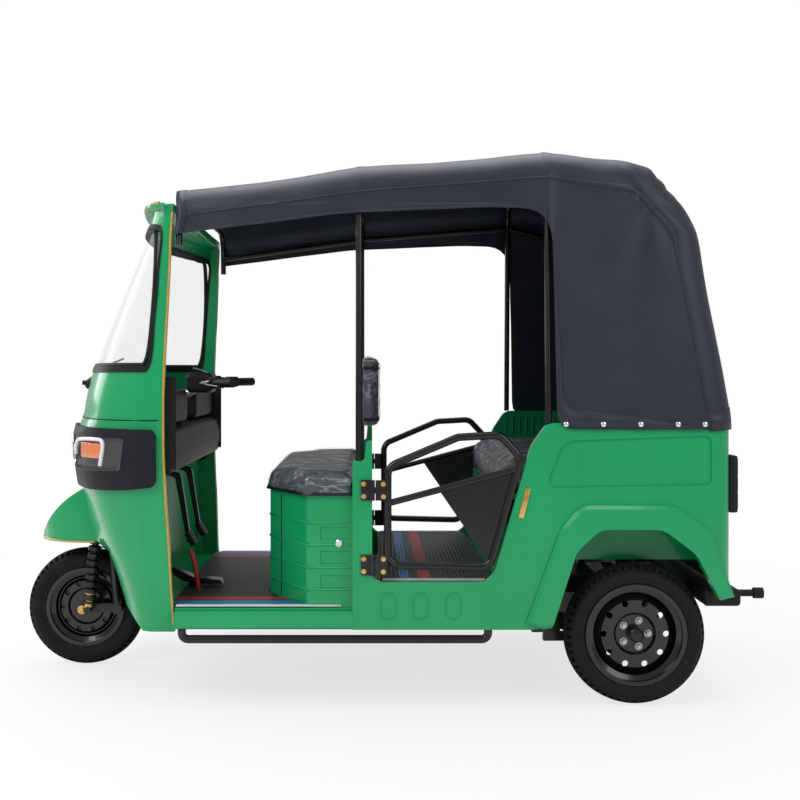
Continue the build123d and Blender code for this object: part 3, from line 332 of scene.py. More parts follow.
def tube(name, points, radius, material, body="chassis", cyclic=False, smooth=True):
    """A round tube along points, as a mesh."""
    curve = bpy.data.curves.new(name, "CURVE")
    curve.dimensions = "3D"
    curve.bevel_depth = radius
    curve.bevel_resolution = 3
    curve.use_fill_caps = True
    curve.resolution_u = 6
    spline = curve.splines.new("NURBS" if smooth else "POLY")
    spline.points.add(len(points) - 1)
    for spot, point in zip(spline.points, points):
        spot.co = (*point, 1.0)
    if smooth:
        spline.order_u = 3
        spline.use_endpoint_u = not cyclic
    spline.use_cyclic_u = cyclic
    holder = put(name + "_path", curve)
    mesh = bpy.data.meshes.new_from_object(holder.evaluated_get(bpy.context.evaluated_depsgraph_get()))
    bpy.data.objects.remove(holder)
    bpy.data.curves.remove(curve)
    bm = bmesh.new()
    bm.from_mesh(mesh)
    bpy.data.meshes.remove(mesh)
    return piece(name, bm, material, body, sharp=60.0)


# Search trees of the pieces that lines are cast at, by name.
trees = {}


def skin_hit(names, start, direction):
    """Where a line first meets the named pieces, the surface's direction there and how far it is."""
    best = None
    for name in names:
        if name not in trees:
            bm = bmesh.new()
            bm.from_mesh(bpy.data.objects[name].data)
            trees[name] = BVHTree.FromBMesh(bm)
            bm.free()
        spot, normal, _, reach = trees[name].ray_cast(Vector(start), Vector(direction))
        if spot is not None and (best is None or reach < best[2]):
            best = (spot, normal, reach)
    return best


def mirrored(points):
    """The same points on the other side of the vehicle."""
    return [Vector((p.x, -p.y, p.z)) for p in points]


# Canopy

# Roof line and the edge of the cloth round the open side, both as station and height.
ROOF_LINE = [
    (-0.683, 1.752), (-0.059, 1.838), (0.58, 1.888), (0.93, 1.846), (1.095, 1.65), (1.2133, 0.96),
    (1.2133, 0.938),
]
EDGE_LINE = [
    (-0.683, 1.595), (-0.12, 1.667), (0.38, 1.688), (0.55, 1.682), (0.592, 1.62), (0.598, 1.45),
    (0.607, 0.94), (0.86, 0.938), (1.114, 0.938),
]
# Pairs that say how far along each line one thread of the cloth starts and ends.
THREADS = [(0.0, 0.0), (0.26, 0.255), (0.44, 0.452), (0.50, 0.56), (0.62, 0.80), (0.8, 0.91), (1.0, 1.0)]
SHOULDER = 0.098
BOWS = (-0.668, -0.059, 0.58)
HALF_AT_HEM = 0.6383
LEAN = 0.036
HEM_Z = 0.96
# Shares of the way from the middle line to a side hem at which the roof and the shoulder end.
ROOF_SHARE = 0.42
SHOULDER_SHARE = 0.58
# Sag between the bows, and the ridges over two of them as rise and spread.
ROOF_FROM_Z = 1.7
SAG = 0.006
REAR_RIDGE = (0.0055, 0.014)
MIDDLE_RIDGE = (0.003, 0.016)
# Tension folds that fan out from the rear top corner.
FAN_CORNER = Vector((0.93, 0, 1.72))
FAN_FROM_X = 0.6
FAN_RISE = 0.0035
FAN_REACH = 0.35
# Gathers above the hem and waves in the flap over the open side.
GATHER_TOP_Z = 1.02
GATHER_RISE = 0.0022
FLAP_REAR_X = 0.55
FLAP_TOP_Z = 1.78
FLAP_RISE = 0.003
# Layers of cloth: how far they stand off the cover's form, and thickness.
COVER_LAYER = (0.0, 0.003)
HEM_LAYER = (0.0022, 0.004)
SEAM_LAYER = (0.0018, 0.0015)
STUD_XS = (0.635, 0.76, 0.885, 1.01, 1.1)
STUD_ROWS = [(0, -0.004), (0.0085, -0.004), (0.0085, 0.0012), (0.006, 0.003), (0, 0.0036)]


def half_width(z):
    """Half width of the cover at a height."""
    return HALF_AT_HEM - LEAN * (z - HEM_Z)


def spaced(rows, count, reach):
    """Points evenly along a line of rows, with its corners eased over a reach."""
    points = [Vector((x, 0, z)) for x, z in rows]
    lengths = [(b - a).length for a, b in zip(points, points[1:])]
    total = sum(lengths)

    def at(run):
        run = min(max(run, 0.0), total)
        for a, b, length in zip(points, points[1:], lengths):
            if run <= length or b is points[-1]:
                return a.lerp(b, min(1.0, run / length))
            run -= length

    result = []
    for index in range(count):
        run = total * index / (count - 1)
        room = min(reach, run, total - run)
        result.append(sum((at(run + room * k / 4) for k in range(-4, 5)), Vector()) / 9)
    return result


def thread_end(share):
    """Share along the edge line for a share along the roof line."""
    for (a, b), (c, d) in zip(THREADS, THREADS[1:]):
        if share <= c:
            return b + (d - b) * (share - a) / (c - a)
    return 1.0


def ridge(x, bow, form):
    """Rise of the cloth where it lies over a bow."""
    rise, spread = form
    return rise * exp(-((x - bow) / spread) ** 2)


def folds(p):
    """How far the cloth stands off its plain form at a point: sag, ridges, tension folds and creases."""
    on_roof = p.z > ROOF_FROM_Z
    rise = 0.0
    if on_roof:
        for a, b in zip(BOWS, BOWS[1:]):
            if a < p.x < b:
                rise -= SAG * sin(pi * (p.x - a) / (b - a)) ** 2
    rise += ridge(p.x, BOWS[2], REAR_RIDGE)
    if on_roof:
        rise += ridge(p.x, BOWS[1], MIDDLE_RIDGE)
    if p.x > FAN_FROM_X:
        away = Vector((p.x, 0, p.z)) - FAN_CORNER
        fan = away.angle(Vector((1, 0, 0)), 0.0)
        rise += FAN_RISE * sin(fan * 9 + away.length * 5) * exp(-away.length / FAN_REACH)
    gather = min(1.0, max(0.0, GATHER_TOP_Z - p.z) / 0.08)
    rise += GATHER_RISE * sin(p.x * 42 + p.y * 37) * gather
    if p.x < FLAP_REAR_X and p.z < FLAP_TOP_Z:
        rise += FLAP_RISE * sin(p.x * 23) * min(1.0, (FLAP_TOP_Z - p.z) / 0.12)
    rise += 0.004 * noise.noise(p * 2.6) + 0.0016 * noise.noise(p * 8.0)
    return rise


def cover_point(roof, edge, share, across):
    """A point of the cover: share runs from front to tail hem, across from one side hem to the other."""
    side = -1 if across < 0 else 1
    a = abs(across)
    place = share * (len(roof) - 1)
    low = min(int(place), len(roof) - 2)
    top = roof[low].lerp(roof[low + 1], place - low)
    run = (roof[min(low + 2, len(roof) - 1)] - roof[max(low - 1, 0)]).normalized()
    out = Vector((-run.z, 0, run.x))
    centre = top - out * SHOULDER
    flat = half_width(centre.z) - SHOULDER
    if a <= ROOF_SHARE:
        return Vector((top.x, side * flat * a / ROOF_SHARE, top.z)), out
    if a <= SHOULDER_SHARE:
        turn = (a - ROOF_SHARE) / (SHOULDER_SHARE - ROOF_SHARE) * pi / 2
        lie = out * cos(turn) + Vector((0, side * sin(turn), 0))
        return centre + Vector((0, side * flat, 0)) + lie * SHOULDER, lie
    reach = thread_end(share) * (len(edge) - 1)
    start = min(int(reach), len(edge) - 2)
    foot = edge[start].lerp(edge[start + 1], reach - start)
    point = centre.lerp(foot, (a - SHOULDER_SHARE) / (1 - SHOULDER_SHARE))
    return Vector((point.x, side * half_width(point.z), point.z)), Vector((0, side, 0))


def cloth_strip(name, lines, shares, acrosses, counts, layer):
    """A strip of cloth between two shares and two acrosses of the cover's lines, and its area."""
    stand_off, thickness = layer
    bm = bmesh.new()
    bmesh.ops.create_grid(bm, x_segments=counts[0], y_segments=counts[1], size=1.0)
    for v in bm.verts:
        share = shares[0] + (shares[1] - shares[0]) * (v.co.x + 1) / 2
        across = acrosses[0] + (acrosses[1] - acrosses[0]) * (v.co.y + 1) / 2
        point, out = cover_point(*lines, share, across)
        v.co = point + out * (folds(point) + stand_off)
    bmesh.ops.remove_doubles(bm, verts=bm.verts, dist=1e-5)
    bmesh.ops.dissolve_degenerate(bm, edges=bm.edges, dist=1e-5)
    area = sum(f.calc_area() for f in bm.faces)
    if sum(f.normal.z * f.calc_area() for f in bm.faces) < 0:
        bmesh.ops.reverse_faces(bm, faces=bm.faces)
    mesh = mesh_of(name, bm)
    mesh.shade_smooth()
    mesh.materials.append(canopy_vinyl)
    obj = put(name, mesh)
    wall = obj.modifiers.new("thickness", "SOLIDIFY")
    wall.thickness = thickness
    wall.offset = -1.0
    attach(obj, "chassis")
    return obj, area


def make_canopy():
    """The cloth cover with its hems, seam straps and press studs."""
    lines = (spaced(ROOF_LINE, 200, 0.055), spaced(EDGE_LINE, 260, 0.05))
    cover, area = cloth_strip("canopy_cover", lines, (0, 1), (-1, 1), (150, 170), COVER_LAYER)
    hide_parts("canopy")
    for side in LEFT_RIGHT:
        name = SIDE_NAME[side]
        cloth_strip(f"canopy_hem_{name}", lines, (0, 1), (side * 0.965, side), (150, 2), HEM_LAYER)
        cloth_strip(f"canopy_seam_{name}", lines, (0, 0.97), (side * 0.575, side * 0.59), (150, 1), SEAM_LAYER)
    cloth_strip("canopy_front_hem", lines, (0.0, 0.012), (-0.99, 0.99), (2, 120), HEM_LAYER)
    cloth_strip("canopy_tail_hem", lines, (0.972, 1.0), (-0.575, 0.575), (2, 90), HEM_LAYER)
    studs = bmesh.new()
    for side in LEFT_RIGHT:
        for x in STUD_XS:
            point = Vector((x, side * half_width(HEM_Z), HEM_Z - 0.004))
            stand = folds(point) + 0.0025
            turned(studs, STUD_ROWS, facing(point + Vector((0, side * stand, 0)), (0, side, 0)), 20)
    piece("canopy_studs", studs, chrome)


# Seats

UP = (0, 0, 1)
REARWARD = (1, 0, 0)
FORWARD = (-1, 0, 0)
PAD_PRESSURE = 4.0
PAD_FRAMES = 14


def cushion(node, name, voxel, shrink, cap, face, channels):
    """A padded piece blown up from its solid's shape on its base, with sewn channels across its face."""
    bm = bmesh.new()
    bm.from_mesh(nodes[node].data)
    bmesh.ops.remove_doubles(bm, verts=bm.verts, dist=1e-5)
    obj = put(name, mesh_of(name, bm))
    remesh = obj.modifiers.new("remesh", "REMESH")
    remesh.mode = "VOXEL"
    remesh.voxel_size = voxel
    apply_modifiers(obj)
    low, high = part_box(node)
    held = obj.vertex_groups.new(name="held")
    face = Vector(face)
    base = min(face.dot(v.co) for v in obj.data.vertices)
    for v, normal in outward(obj):
        if face.dot(v.co) - base < voxel:
            held.add([v.index], 1.0, "REPLACE")
        else:
            v.co -= normal * shrink
    start = [v.co.copy() for v in obj.data.vertices]
    blow_up(obj)
    for v, old in zip(obj.data.vertices, start):
        step = v.co - old
        if step.length > cap:
            v.co = old + step.normalized() * cap
    sew(obj, channels, face)
    obj.data.shade_smooth()
    obj.data.materials.clear()
    obj.data.materials.append(seat_vinyl)
    for v in obj.data.vertices:
        v.co = (min(max(v.co.x, low.x), high.x), min(max(v.co.y, low.y), high.y), max(v.co.z, low.z))
    obj.vertex_groups.clear()
    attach(obj, "chassis")
    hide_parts(node)
    return obj


def outward(obj):
    """Each vertex with its direction outwards, read before any of them moves."""
    return list(zip(obj.data.vertices, [v.normal.copy() for v in obj.data.vertices]))


def apply_modifiers(obj):
    """Put the modified mesh in place of the object's own."""
    graph = bpy.context.evaluated_depsgraph_get()
    mesh = bpy.data.meshes.new_from_object(obj.evaluated_get(graph))
    obj.modifiers.clear()
    obj.data = mesh


def blow_up(obj):
    """Cloth under pressure, held along its base, stepped and applied."""
    cloth = obj.modifiers.new("cloth", "CLOTH")
    cloth.settings.use_pressure = True
    cloth.settings.uniform_pressure_force = PAD_PRESSURE
    cloth.settings.vertex_group_mass = "held"
    cloth.settings.effector_weights.gravity = 0.0
    cloth.settings.quality = 4
    cloth.point_cache.frame_start = 1
    cloth.point_cache.frame_end = PAD_FRAMES
    scene = bpy.context.scene
    for step in range(1, PAD_FRAMES + 1):
        scene.frame_set(step)
    apply_modifiers(obj)
    scene.frame_set(1)


def sew(obj, channels, face):
    """Sewn lines across the seat, by spacing, depth and width. Each pulls the cloth in on the face."""
    spacing, depth, width = channels
    for v, normal in outward(obj):
        if normal.dot(face) < 0.35:
            continue
        offset = v.co.y / spacing - 0.5
        away = (offset - round(offset)) * spacing
        v.co += normal * (0.0015 * noise.noise(v.co * 14) - depth * exp(-(away / width) ** 2))


def film_over(pad, name, lowest, lift):
    """Clear crumpled wrapping over a pad, from its lowest wrapped height up."""
    bm = bmesh.new()
    bm.from_mesh(pad.data)
    gone = [f for f in bm.faces if f.calc_center_median().z < lowest]
    bmesh.ops.delete(bm, geom=gone, context="FACES")
    bm.normal_update()
    for v in bm.verts:
        crumple = abs(noise.noise(v.co * 11)) + 0.6 * abs(noise.noise(v.co * 27 + Vector((3, 1, 2))))
        v.co += v.normal * (lift + 0.009 * crumple)
    bmesh.ops.smooth_vert(bm, verts=bm.verts, factor=0.4, use_axis_x=True, use_axis_y=True, use_axis_z=True)
    mesh = mesh_of(name, bm)
    mesh.shade_smooth()
    mesh.materials.append(clear_film_painted_glints)
    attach(put(name, mesh), "chassis")


def make_seats():
    """Driver's cushion and back pad and the bench's cushion under clear wrapping, and the bench's back."""
    bench_channels = (0.13, 0.009, 0.011)
    seat = cushion("driver_seat", "driver_cushion", 0.007, 0.006, 0.014, UP, (0.11, 0.007, 0.009))
    film_over(seat, "driver_cushion_film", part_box("driver_seat")[0].z + 0.012, 0.0015)
    pad = cushion("driver_backrest", "driver_back_pad", 0.006, 0.005, 0.012, REARWARD, (0.1, 0.006, 0.008))
    film_over(pad, "driver_back_film", 0.0, 0.0015)
    bench = cushion("rear_seat", "bench_cushion", 0.009, 0.008, 0.018, UP, bench_channels)
    film_over(bench, "bench_film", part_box("rear_seat")[0].z + 0.02, 0.002)
    cushion("rear_backrest", "bench_back", 0.009, 0.008, 0.018, FORWARD, bench_channels)


# Wheels

# Each tyre's wheel, and its sidewall's height as a share of its radius.
TYRES = {
    "front_tyre": ("front_wheel", 0.34), "rear_tyre_left": ("rear_wheel_left", 0.285),
    "rear_tyre_right": ("rear_wheel_right", 0.285),
}
# Half the tread from shoulder to middle: share of the half width, and depth under the crown.
TREAD = [
    (0.70, 0.0095), (0.50, 0.0048), (0.485, 0.0108), (0.41, 0.0092), (0.395, 0.0032), (0.14, 0.0006),
    (0.125, 0.0066), (0.05, 0.006), (0.035, 0.0),
]
TYRE_STEPS = 108
# Cuts in the shoulder: shares of the half width between them, and how far under the crown they reach.
CUT_BAND = (0.5, 0.84)
CUT_REACH = 0.02
CUT_EDGE = 0.0014
CUT_DEPTH = 0.0055
HALF_TRACK = 0.545
NUT_Y = HALF_TRACK + 0.019
HUB_CAP_Y = HALF_TRACK + 0.036
HUB_CAP_ROWS = [(0.021, 0), (0.024, 0.002), (0.024, 0.017), (0.019, 0.0225), (0.008, 0.025), (0, 0.025)]
WHEEL_NUTS = 5
NUT_CIRCLE_R = 0.046


def make_tyre(node, body, wall_share):
    """Tyre with ribs, shoulder cuts and sidewall rings, spun about its axle."""
    low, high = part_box(node)
    middle = (low + high) / 2
    crown = (high.z - low.z) / 2
    half = (high.y - low.y) / 2
    wall = crown * wall_share
    bead = crown - wall
    rows = [
        (bead, -0.78 * half), (bead + 0.004, -0.83 * half), (bead + 0.012, -0.9 * half),
        (bead + 0.016, -0.9 * half), (bead + 0.019, -0.94 * half), (crown - wall * 0.55, -0.995 * half),
        (crown - wall * 0.40, -0.985 * half), (crown - wall * 0.38, -0.96 * half),
        (crown - wall * 0.35, -0.955 * half), (crown - 0.018, -0.83 * half), (crown - 0.012, -0.74 * half),
    ]
    rows += [(crown - down, -share * half) for share, down in TREAD]
    rows += [(radius, -side) for radius, side in reversed(rows)]
    bm = bmesh.new()
    verts = [bm.verts.new((radius, side, 0)) for radius, side in rows]
    edges = [bm.edges.new(pair) for pair in zip(verts, verts[1:])]
    bmesh.ops.spin(bm, geom=verts + edges, cent=(0, 0, 0), axis=(0, 1, 0), angle=2 * pi, steps=TYRE_STEPS,
                   use_merge=True)
    bmesh.ops.remove_doubles(bm, verts=bm.verts, dist=1e-6)
    bmesh.ops.recalc_face_normals(bm, faces=bm.faces)
    cuts = []
    for f in bm.faces:
        spot = f.calc_center_median()
        spoke = Vector((spot.x, spot.z))
        step = int((spoke.angle_signed(Vector((1, 0))) + pi) / (2 * pi) * TYRE_STEPS)
        on_shoulder = CUT_BAND[0] < abs(spot.y) / half < CUT_BAND[1] and spoke.length > crown - CUT_REACH
        if step % 2 == 0 and on_shoulder:
            cuts.append(f)
    bmesh.ops.inset_individual(bm, faces=cuts, thickness=CUT_EDGE, depth=-CUT_DEPTH, use_even_offset=True)
    bmesh.ops.translate(bm, vec=middle, verts=bm.verts)
    tyre = piece(node.replace("tyre", "tyre_tread"), bm, tyre_rubber, body, sharp=30.0)
    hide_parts(node)


def make_wheels():
    """Tyres, wheel nuts, hub caps and the front axle's nuts."""
    for node, (body, wall_share) in TYRES.items():
        make_tyre(node, body, wall_share)
    for side in LEFT_RIGHT:
        name = SIDE_NAME[side]
        low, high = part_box(f"rear_rim_{name}")
        middle = (low + high) / 2
        nuts = bmesh.new()
        for turn in range(WHEEL_NUTS):
            angle = turn * 2 * pi / WHEEL_NUTS
            x = middle.x + NUT_CIRCLE_R * cos(angle)
            z = middle.z + NUT_CIRCLE_R * sin(angle)
            bolt(nuts, (x, side * NUT_Y, z), (0, side, 0), 0.0095, 0.015)
        piece(f"wheel_nuts_{name}", nuts, steel, f"rear_wheel_{name}")
        cap = bmesh.new()
        turned(cap, HUB_CAP_ROWS, facing((middle.x, side * HUB_CAP_Y, middle.z), (0, side, 0)), 28)
        piece(f"hub_cap_{name}", cap, black_paint, "chassis")
    low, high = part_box("front_axle")
    centre = (low + high) / 2
    nuts = bmesh.new()
    for side in LEFT_RIGHT:
        bolt(nuts, (centre.x, side * (high.y - 0.001), centre.z), (0, side, 0), 0.012, 0.012)
    piece("axle_nuts", nuts, gold_zinc, "steering")


# Cab

# How the cab's front bows in plan: height, nose and corner stations in the solids, bowed nose and corner,
# half width.
CAB_BOW = [
    (0.25, -0.970, -0.830, -0.964, -0.798, 0.585), (0.5, -1.060, -0.905, -1.056, -0.848, 0.606),
    (0.72, -1.118, -1.010, -1.114, -0.898, 0.622), (0.92, -1.131, -1.030, -1.124, -0.910, 0.628),
    (0.975, -1.132, -1.034, -1.104, -0.902, 0.630), (1.13, -1.102, -1.005, -1.072, -0.872, 0.628),
    (1.66, -0.890, -0.820, -0.858, -0.752, 0.606), (1.742, -0.862, -0.800, -0.832, -0.738, 0.600),
]
BOW_ENDS_X = -0.695
BROW_Z = CAB_BOW[-1][0]
CROWN_FROM_Z = 1.42
CROWN_DROP = 0.042
CAB_SKINS = {
    "cab_lower_shell": "cab_lower_skin", "cab_upper_shell": "cab_upper_skin", "windscreen": "screen_pane",
    "windscreen_gasket": "screen_rubber", "headlamp_bezels": "lamp_surrounds", "headlamps": "lamp_covers",
    "dashboard": "dash_moulding", "front_bulkhead": "foot_bulkhead",
}
LONGEST_EDGE = 0.05
# Lines that feel for the cab's skin start this far out and run level to its axis.
CAB_AXIS_X = -0.72
OUTSIDE = 2.0
FLANKS = ["cab_lower_skin", "cab_upper_skin"]
# The cab's rear edge: heights of its ends, and where feeling for it starts.
REAR_EDGE_Z = (0.275, 1.672)
BEHIND_CAB_X = -0.66
VISOR_FROM_Z = 1.60
SCREEN_FROM_Z = 1.05
ROW_STEP = 0.004
WAIST_Z = 0.968
MUDGUARD_RIM = Vector((-1.0, 0, 0.503))
MUDGUARD_RIM_REAR_X = -0.93


def eased(value):
    """A smooth step from 0 to 1."""
    value = min(max(value, 0.0), 1.0)
    return value * value * (3 - 2 * value)


def bowed(p):
    """A point of the cab, moved so that its front bows round and its brow comes down."""
    for low, high in zip(CAB_BOW, CAB_BOW[1:]):
        if p.z <= high[0]:
            break
    share = min(max((p.z - low[0]) / (high[0] - low[0]), 0.0), 1.0)
    nose, corner, new_nose, new_corner, half = [a + (b - a) * share for a, b in zip(low[1:], high[1:])]
    across = min(1.0, abs(p.y) / half) ** 2
    front = nose + (corner - nose) * across
    shift = new_nose + (new_corner - new_nose) * across - front
    room = eased((BOW_ENDS_X - p.x) / max(BOW_ENDS_X - front, 0.02))
    drop = CROWN_DROP * eased((p.z - CROWN_FROM_Z) / (BROW_Z - CROWN_FROM_Z))
    return Vector((p.x + shift * room, p.y, p.z - drop))


def make_cab_skins():
    """The cab's shells, screen, lamp surrounds, lamp covers, dash and bulkhead, with their front bowed."""
    for node, name in CAB_SKINS.items():
        bm = bmesh.new()
        bm.from_mesh(nodes[node].data)
        bmesh.ops.remove_doubles(bm, verts=bm.verts, dist=1e-5)
        for _ in range(3):
            long = [e for e in bm.edges if e.calc_length() > LONGEST_EDGE]
            bmesh.ops.subdivide_edges(bm, edges=long, cuts=1)
            bmesh.ops.triangulate(bm, faces=bm.faces)
        for v in bm.verts:
            v.co = bowed(v.co)
        skin = piece(name, bm, nodes[node].data.materials[0], sharp=28.0)
        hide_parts(node)


def round_front(share, start=91, sweep=178):
    """A level direction outwards, from the right side round the nose to the left."""
    turn = radians(start + sweep * share)
    return Vector((cos(turn), sin(turn), 0))


def from_outside(names, way, z):
    """Where a level line towards the cab's axis first meets the named pieces at a height."""
    return skin_hit(names, Vector((CAB_AXIS_X, 0, z)) + way * OUTSIDE, -way)


def rear_edge():
    """Points up the rear edge of the cab's left side, found from behind it."""
    low, high = REAR_EDGE_Z
    points = []
    for step in range(30):
        z = low + (high - low) * step / 29
        for back in range(60):
            x = BEHIND_CAB_X - 0.002 * back
            flank = skin_hit(FLANKS, (x, -1.2, z), (0, 1, 0))
            if flank and flank[0].y < -0.5:
                points.append(Vector((x - 0.001, flank[0].y - 0.001, z)))
                break
    return points


def visor_lip():
    """Points along the visor's front lip."""
    points = []
    for step in range(49):
        way = round_front(step / 48)
        hits = [from_outside(["cab_upper_skin"], way, VISOR_FROM_Z + ROW_STEP * row) for row in range(31)]
        lip = max((hit[0] for hit in hits if hit), key=lambda spot: way.dot(spot) + 0.15 * spot.z)
        points.append(lip + Vector((0, 0, 0.005)))
    return points


def screen_edge():
    """Points round the clear part of the screen, along its sill and back along its head."""
    sill, head = [], []
    for step in range(121):
        way = round_front(step / 120)
        pane = []
        for row in range(170):
            z = SCREEN_FROM_Z + ROW_STEP * row
            glass = from_outside(["screen_pane"], way, z)
            border = from_outside(["screen_rubber", "cab_upper_skin"], way, z)
            if glass and (border is None or glass[2] < border[2]):
                pane.append(glass[0] + way * 0.002)
        if len(pane) > 40:
            sill.append(pane[0])
            head.append(pane[-1])
    return sill + head[::-1]


def mudguard_rim():
    """Points round the mudguard's rim in front of the cab."""
    points = []
    for step in range(45):
        way = round_front(step / 44, 105, 150)
        hit = skin_hit(["front_mudguard"], MUDGUARD_RIM + way * 1.2, -way)
        if hit and hit[0].x < MUDGUARD_RIM_REAR_X:
            points.append(hit[0] + Vector((0, 0, -0.006)))
    return points


def make_cab_trim():
    """Yellow beads on the cab's rear edges, visor and mudguard, the screen's rubber bead, the waist joint."""
    beads = rear_edge()
    tube("cab_bead_left", beads, 0.0042, gold_trim)
    tube("cab_bead_right", mirrored(beads), 0.0042, gold_trim)
    tube("visor_bead", visor_lip(), 0.005, gold_trim)
    tube("screen_bead", screen_edge(), 0.0085, rubber, cyclic=True)
    tube("mudguard_bead", mudguard_rim(), 0.0035, gold_trim)
    hits = [from_outside(FLANKS, round_front(step / 60), WAIST_Z) for step in range(61)]
    tube("waist_joint", [hit[0] for hit in hits if hit], 0.0022, rubber)


# Lamps

LAMP_STRIP = [
    (-1.062, 0.79), (-1.072, 0.84), (-1.074, 0.89), (-1.03, 0.9), (-0.97, 0.902), (-0.93, 0.9),
    (-0.936, 0.85), (-0.945, 0.812),
]
LAMP_MIDDLE = Vector((-0.8, 0, 0.845))
LAMP_BACK_SIZE = (0.95, 0.95, 0.97, 1.0)
BOWL_YS = (0.27, 0.36)
BOWL_Z = 0.842
BOWL_ROWS = [(0.034, 0.0), (0.0289, -0.006), (0.017, -0.012), (0.008, -0.014), (0.006, -0.004), (0, -0.003)]
INDICATOR_XS = [-1.022 + 0.019 * step for step in range(5)]
INDICATOR_Z = 0.862
TAIL_LAMP_INNER_Y = 0.479
TAIL_LENS_MARGIN = 0.008
TAIL_LENSES = 3


def make_lamps():
    """Dark backs, bowls, pale strips and amber lamps behind the headlamp covers, and the tail lamps."""
    back = bmesh.new()
    back.from_mesh(bpy.data.objects["lamp_covers"].data)
    drawn_in = Matrix.Diagonal(LAMP_BACK_SIZE) @ Matrix.Translation(-LAMP_MIDDLE)
    bmesh.ops.transform(back, matrix=Matrix.Translation(LAMP_MIDDLE) @ drawn_in, verts=back.verts)
    piece("lamp_backs", back, black_plastic)
    low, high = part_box("tail_lamps")
    lens_height = (high.z - low.z - 0.02) / TAIL_LENSES
    for side in LEFT_RIGHT:
        name = SIDE_NAME[side]
        bowls = bmesh.new()
        for y in BOWL_YS:
            hit = skin_hit(["lamp_covers"], (-2.0, side * y, BOWL_Z), (1, 0, 0))
            if hit:
                turned(bowls, BOWL_ROWS, facing(hit[0] + hit[1] * -0.006, hit[1]), 28)
        piece(f"headlamp_bowls_{name}", bowls, chrome)
        hits = [skin_hit(["lamp_covers"], (x, side * OUTSIDE, z), (0, -side, 0)) for x, z in LAMP_STRIP]
        strip = [hit[0] - hit[1] * 0.007 for hit in hits if hit]
        tube(f"headlamp_strip_{name}", strip, 0.007, white_lamp)
        orange = bmesh.new()
        for x in INDICATOR_XS:
            hit = skin_hit(["lamp_covers"], (x, side * OUTSIDE, INDICATOR_Z), (0, -side, 0))
            if hit:
                spot = hit[0] - hit[1] * 0.008
                block_at(orange, spot, (0.016, 0.004, 0.026), 0.003, 2, turn_between((0, side, 0), hit[1]))
        piece(f"indicator_{name}", orange, amber)
        outer = high.y - 0.001
        case = bmesh.new()
        side_slab(case, side, (low.x, high.x - 0.003), (TAIL_LAMP_INNER_Y, outer), (low.z, high.z), 0.006)
        case_piece = piece(f"tail_lamp_case_{name}", case, black_plastic)
        lenses = bmesh.new()
        ys = (TAIL_LAMP_INNER_Y + TAIL_LENS_MARGIN, outer - TAIL_LENS_MARGIN)
        for row in range(TAIL_LENSES):
            z = low.z + 0.01 + row * lens_height
            zs = (z + 0.002, z + lens_height - 0.002)
            side_slab(lenses, side, (high.x - 0.014, high.x - 0.0005), ys, zs, 0.002)
        piece(f"tail_lamp_lens_{name}", lenses, red_lens)
        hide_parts("tail_lamps")


# Dash, pressings, mats and small fittings

COWL_TOP_Z = 1.066
COWL_LOW_Z = 0.945
COWL_FRONT_X = -0.99
COWL_REAR_X = -0.715
COWL_OUTER_Y = 0.585
# The seat box's half plan from near the middle line to the rear: station and distance from that line.
SEAT_BOX_PLAN = [(-0.3800, -0.20), (-0.3800, -0.350), (-0.232, -0.597), (-0.06, -0.597)]
SEAT_BOX_BANDS = (0.395, 0.47, 0.546, 0.622)
SEAT_BOX_SEAM = (-0.334, 0.4296)
SEAT_BOX_SEAM_Z = (0.345, 0.70)
FLUTE_XS = [0.545 + 0.03 * step for step in range(9)]
FLUTE_Z = (0.86, 0.93)
DRIVER_MAT_PLAN = [
    (-0.70, -0.588), (-0.245, -0.588), (-0.385, -0.352), (-0.385, 0.352), (-0.245, 0.588), (-0.70, 0.588),
]
DRIVER_MAT_Z = 0.3385
DRIVER_MAT_T = 0.004
REAR_MAT_Z = 0.4255
MAT_EDGE_YS = (0.583, 0.604)
WIPER_Y = -0.16
WIPER_ROWS = [
    (0, -0.004), (0.02, -0.004), (0.02, 0.008), (0.014, 0.016), (0.009, 0.018), (0.009, 0.03), (0, 0.032),
]
HINGE_BOLT_ZS = [z + step for z in (0.484, 0.735) for step in (-0.021, 0.021)]
HINGE_BOLT = (0.0062, 0.006)
LOCK_ROWS = [
    (0, 0), (0.013, 0), (0.013, 0.003), (0.009, 0.006), (0.0045, 0.006), (0.004, 0.004), (0, 0.004),
]


def make_dash():
    """Black cowl under the screen on both sides of the column, and end panels behind the cab's edges."""
    for side in LEFT_RIGHT:
        name = SIDE_NAME[side]
        cowl = bmesh.new()
        side_slab(cowl, side, (COWL_FRONT_X, COWL_REAR_X), (0.10, COWL_OUTER_Y), (COWL_LOW_Z, COWL_TOP_Z),
                  0.02, 3)
        across = [e for e in cowl.edges if abs(e.verts[0].co.y - e.verts[1].co.y) > 0.2]
        bmesh.ops.subdivide_edges(cowl, edges=across, cuts=14, use_grid_fill=True)
        for v in cowl.verts:
            if v.co.x < -0.9:
                v.co.x += 0.155 * (v.co.y / COWL_OUTER_Y) ** 2 - 0.03
            if v.co.z > COWL_TOP_Z - 0.03:
                v.co.z -= 0.02 * (v.co.x - COWL_REAR_X) / -0.3
        piece(f"dash_cowl_{name}", cowl, black_plastic)
        end = bmesh.new()
        side_slab(end, side, (-0.80, -0.678), (0.588, 0.599), (0.80, 1.115), 0.004)
        piece(f"dash_end_{name}", end, black_plastic)


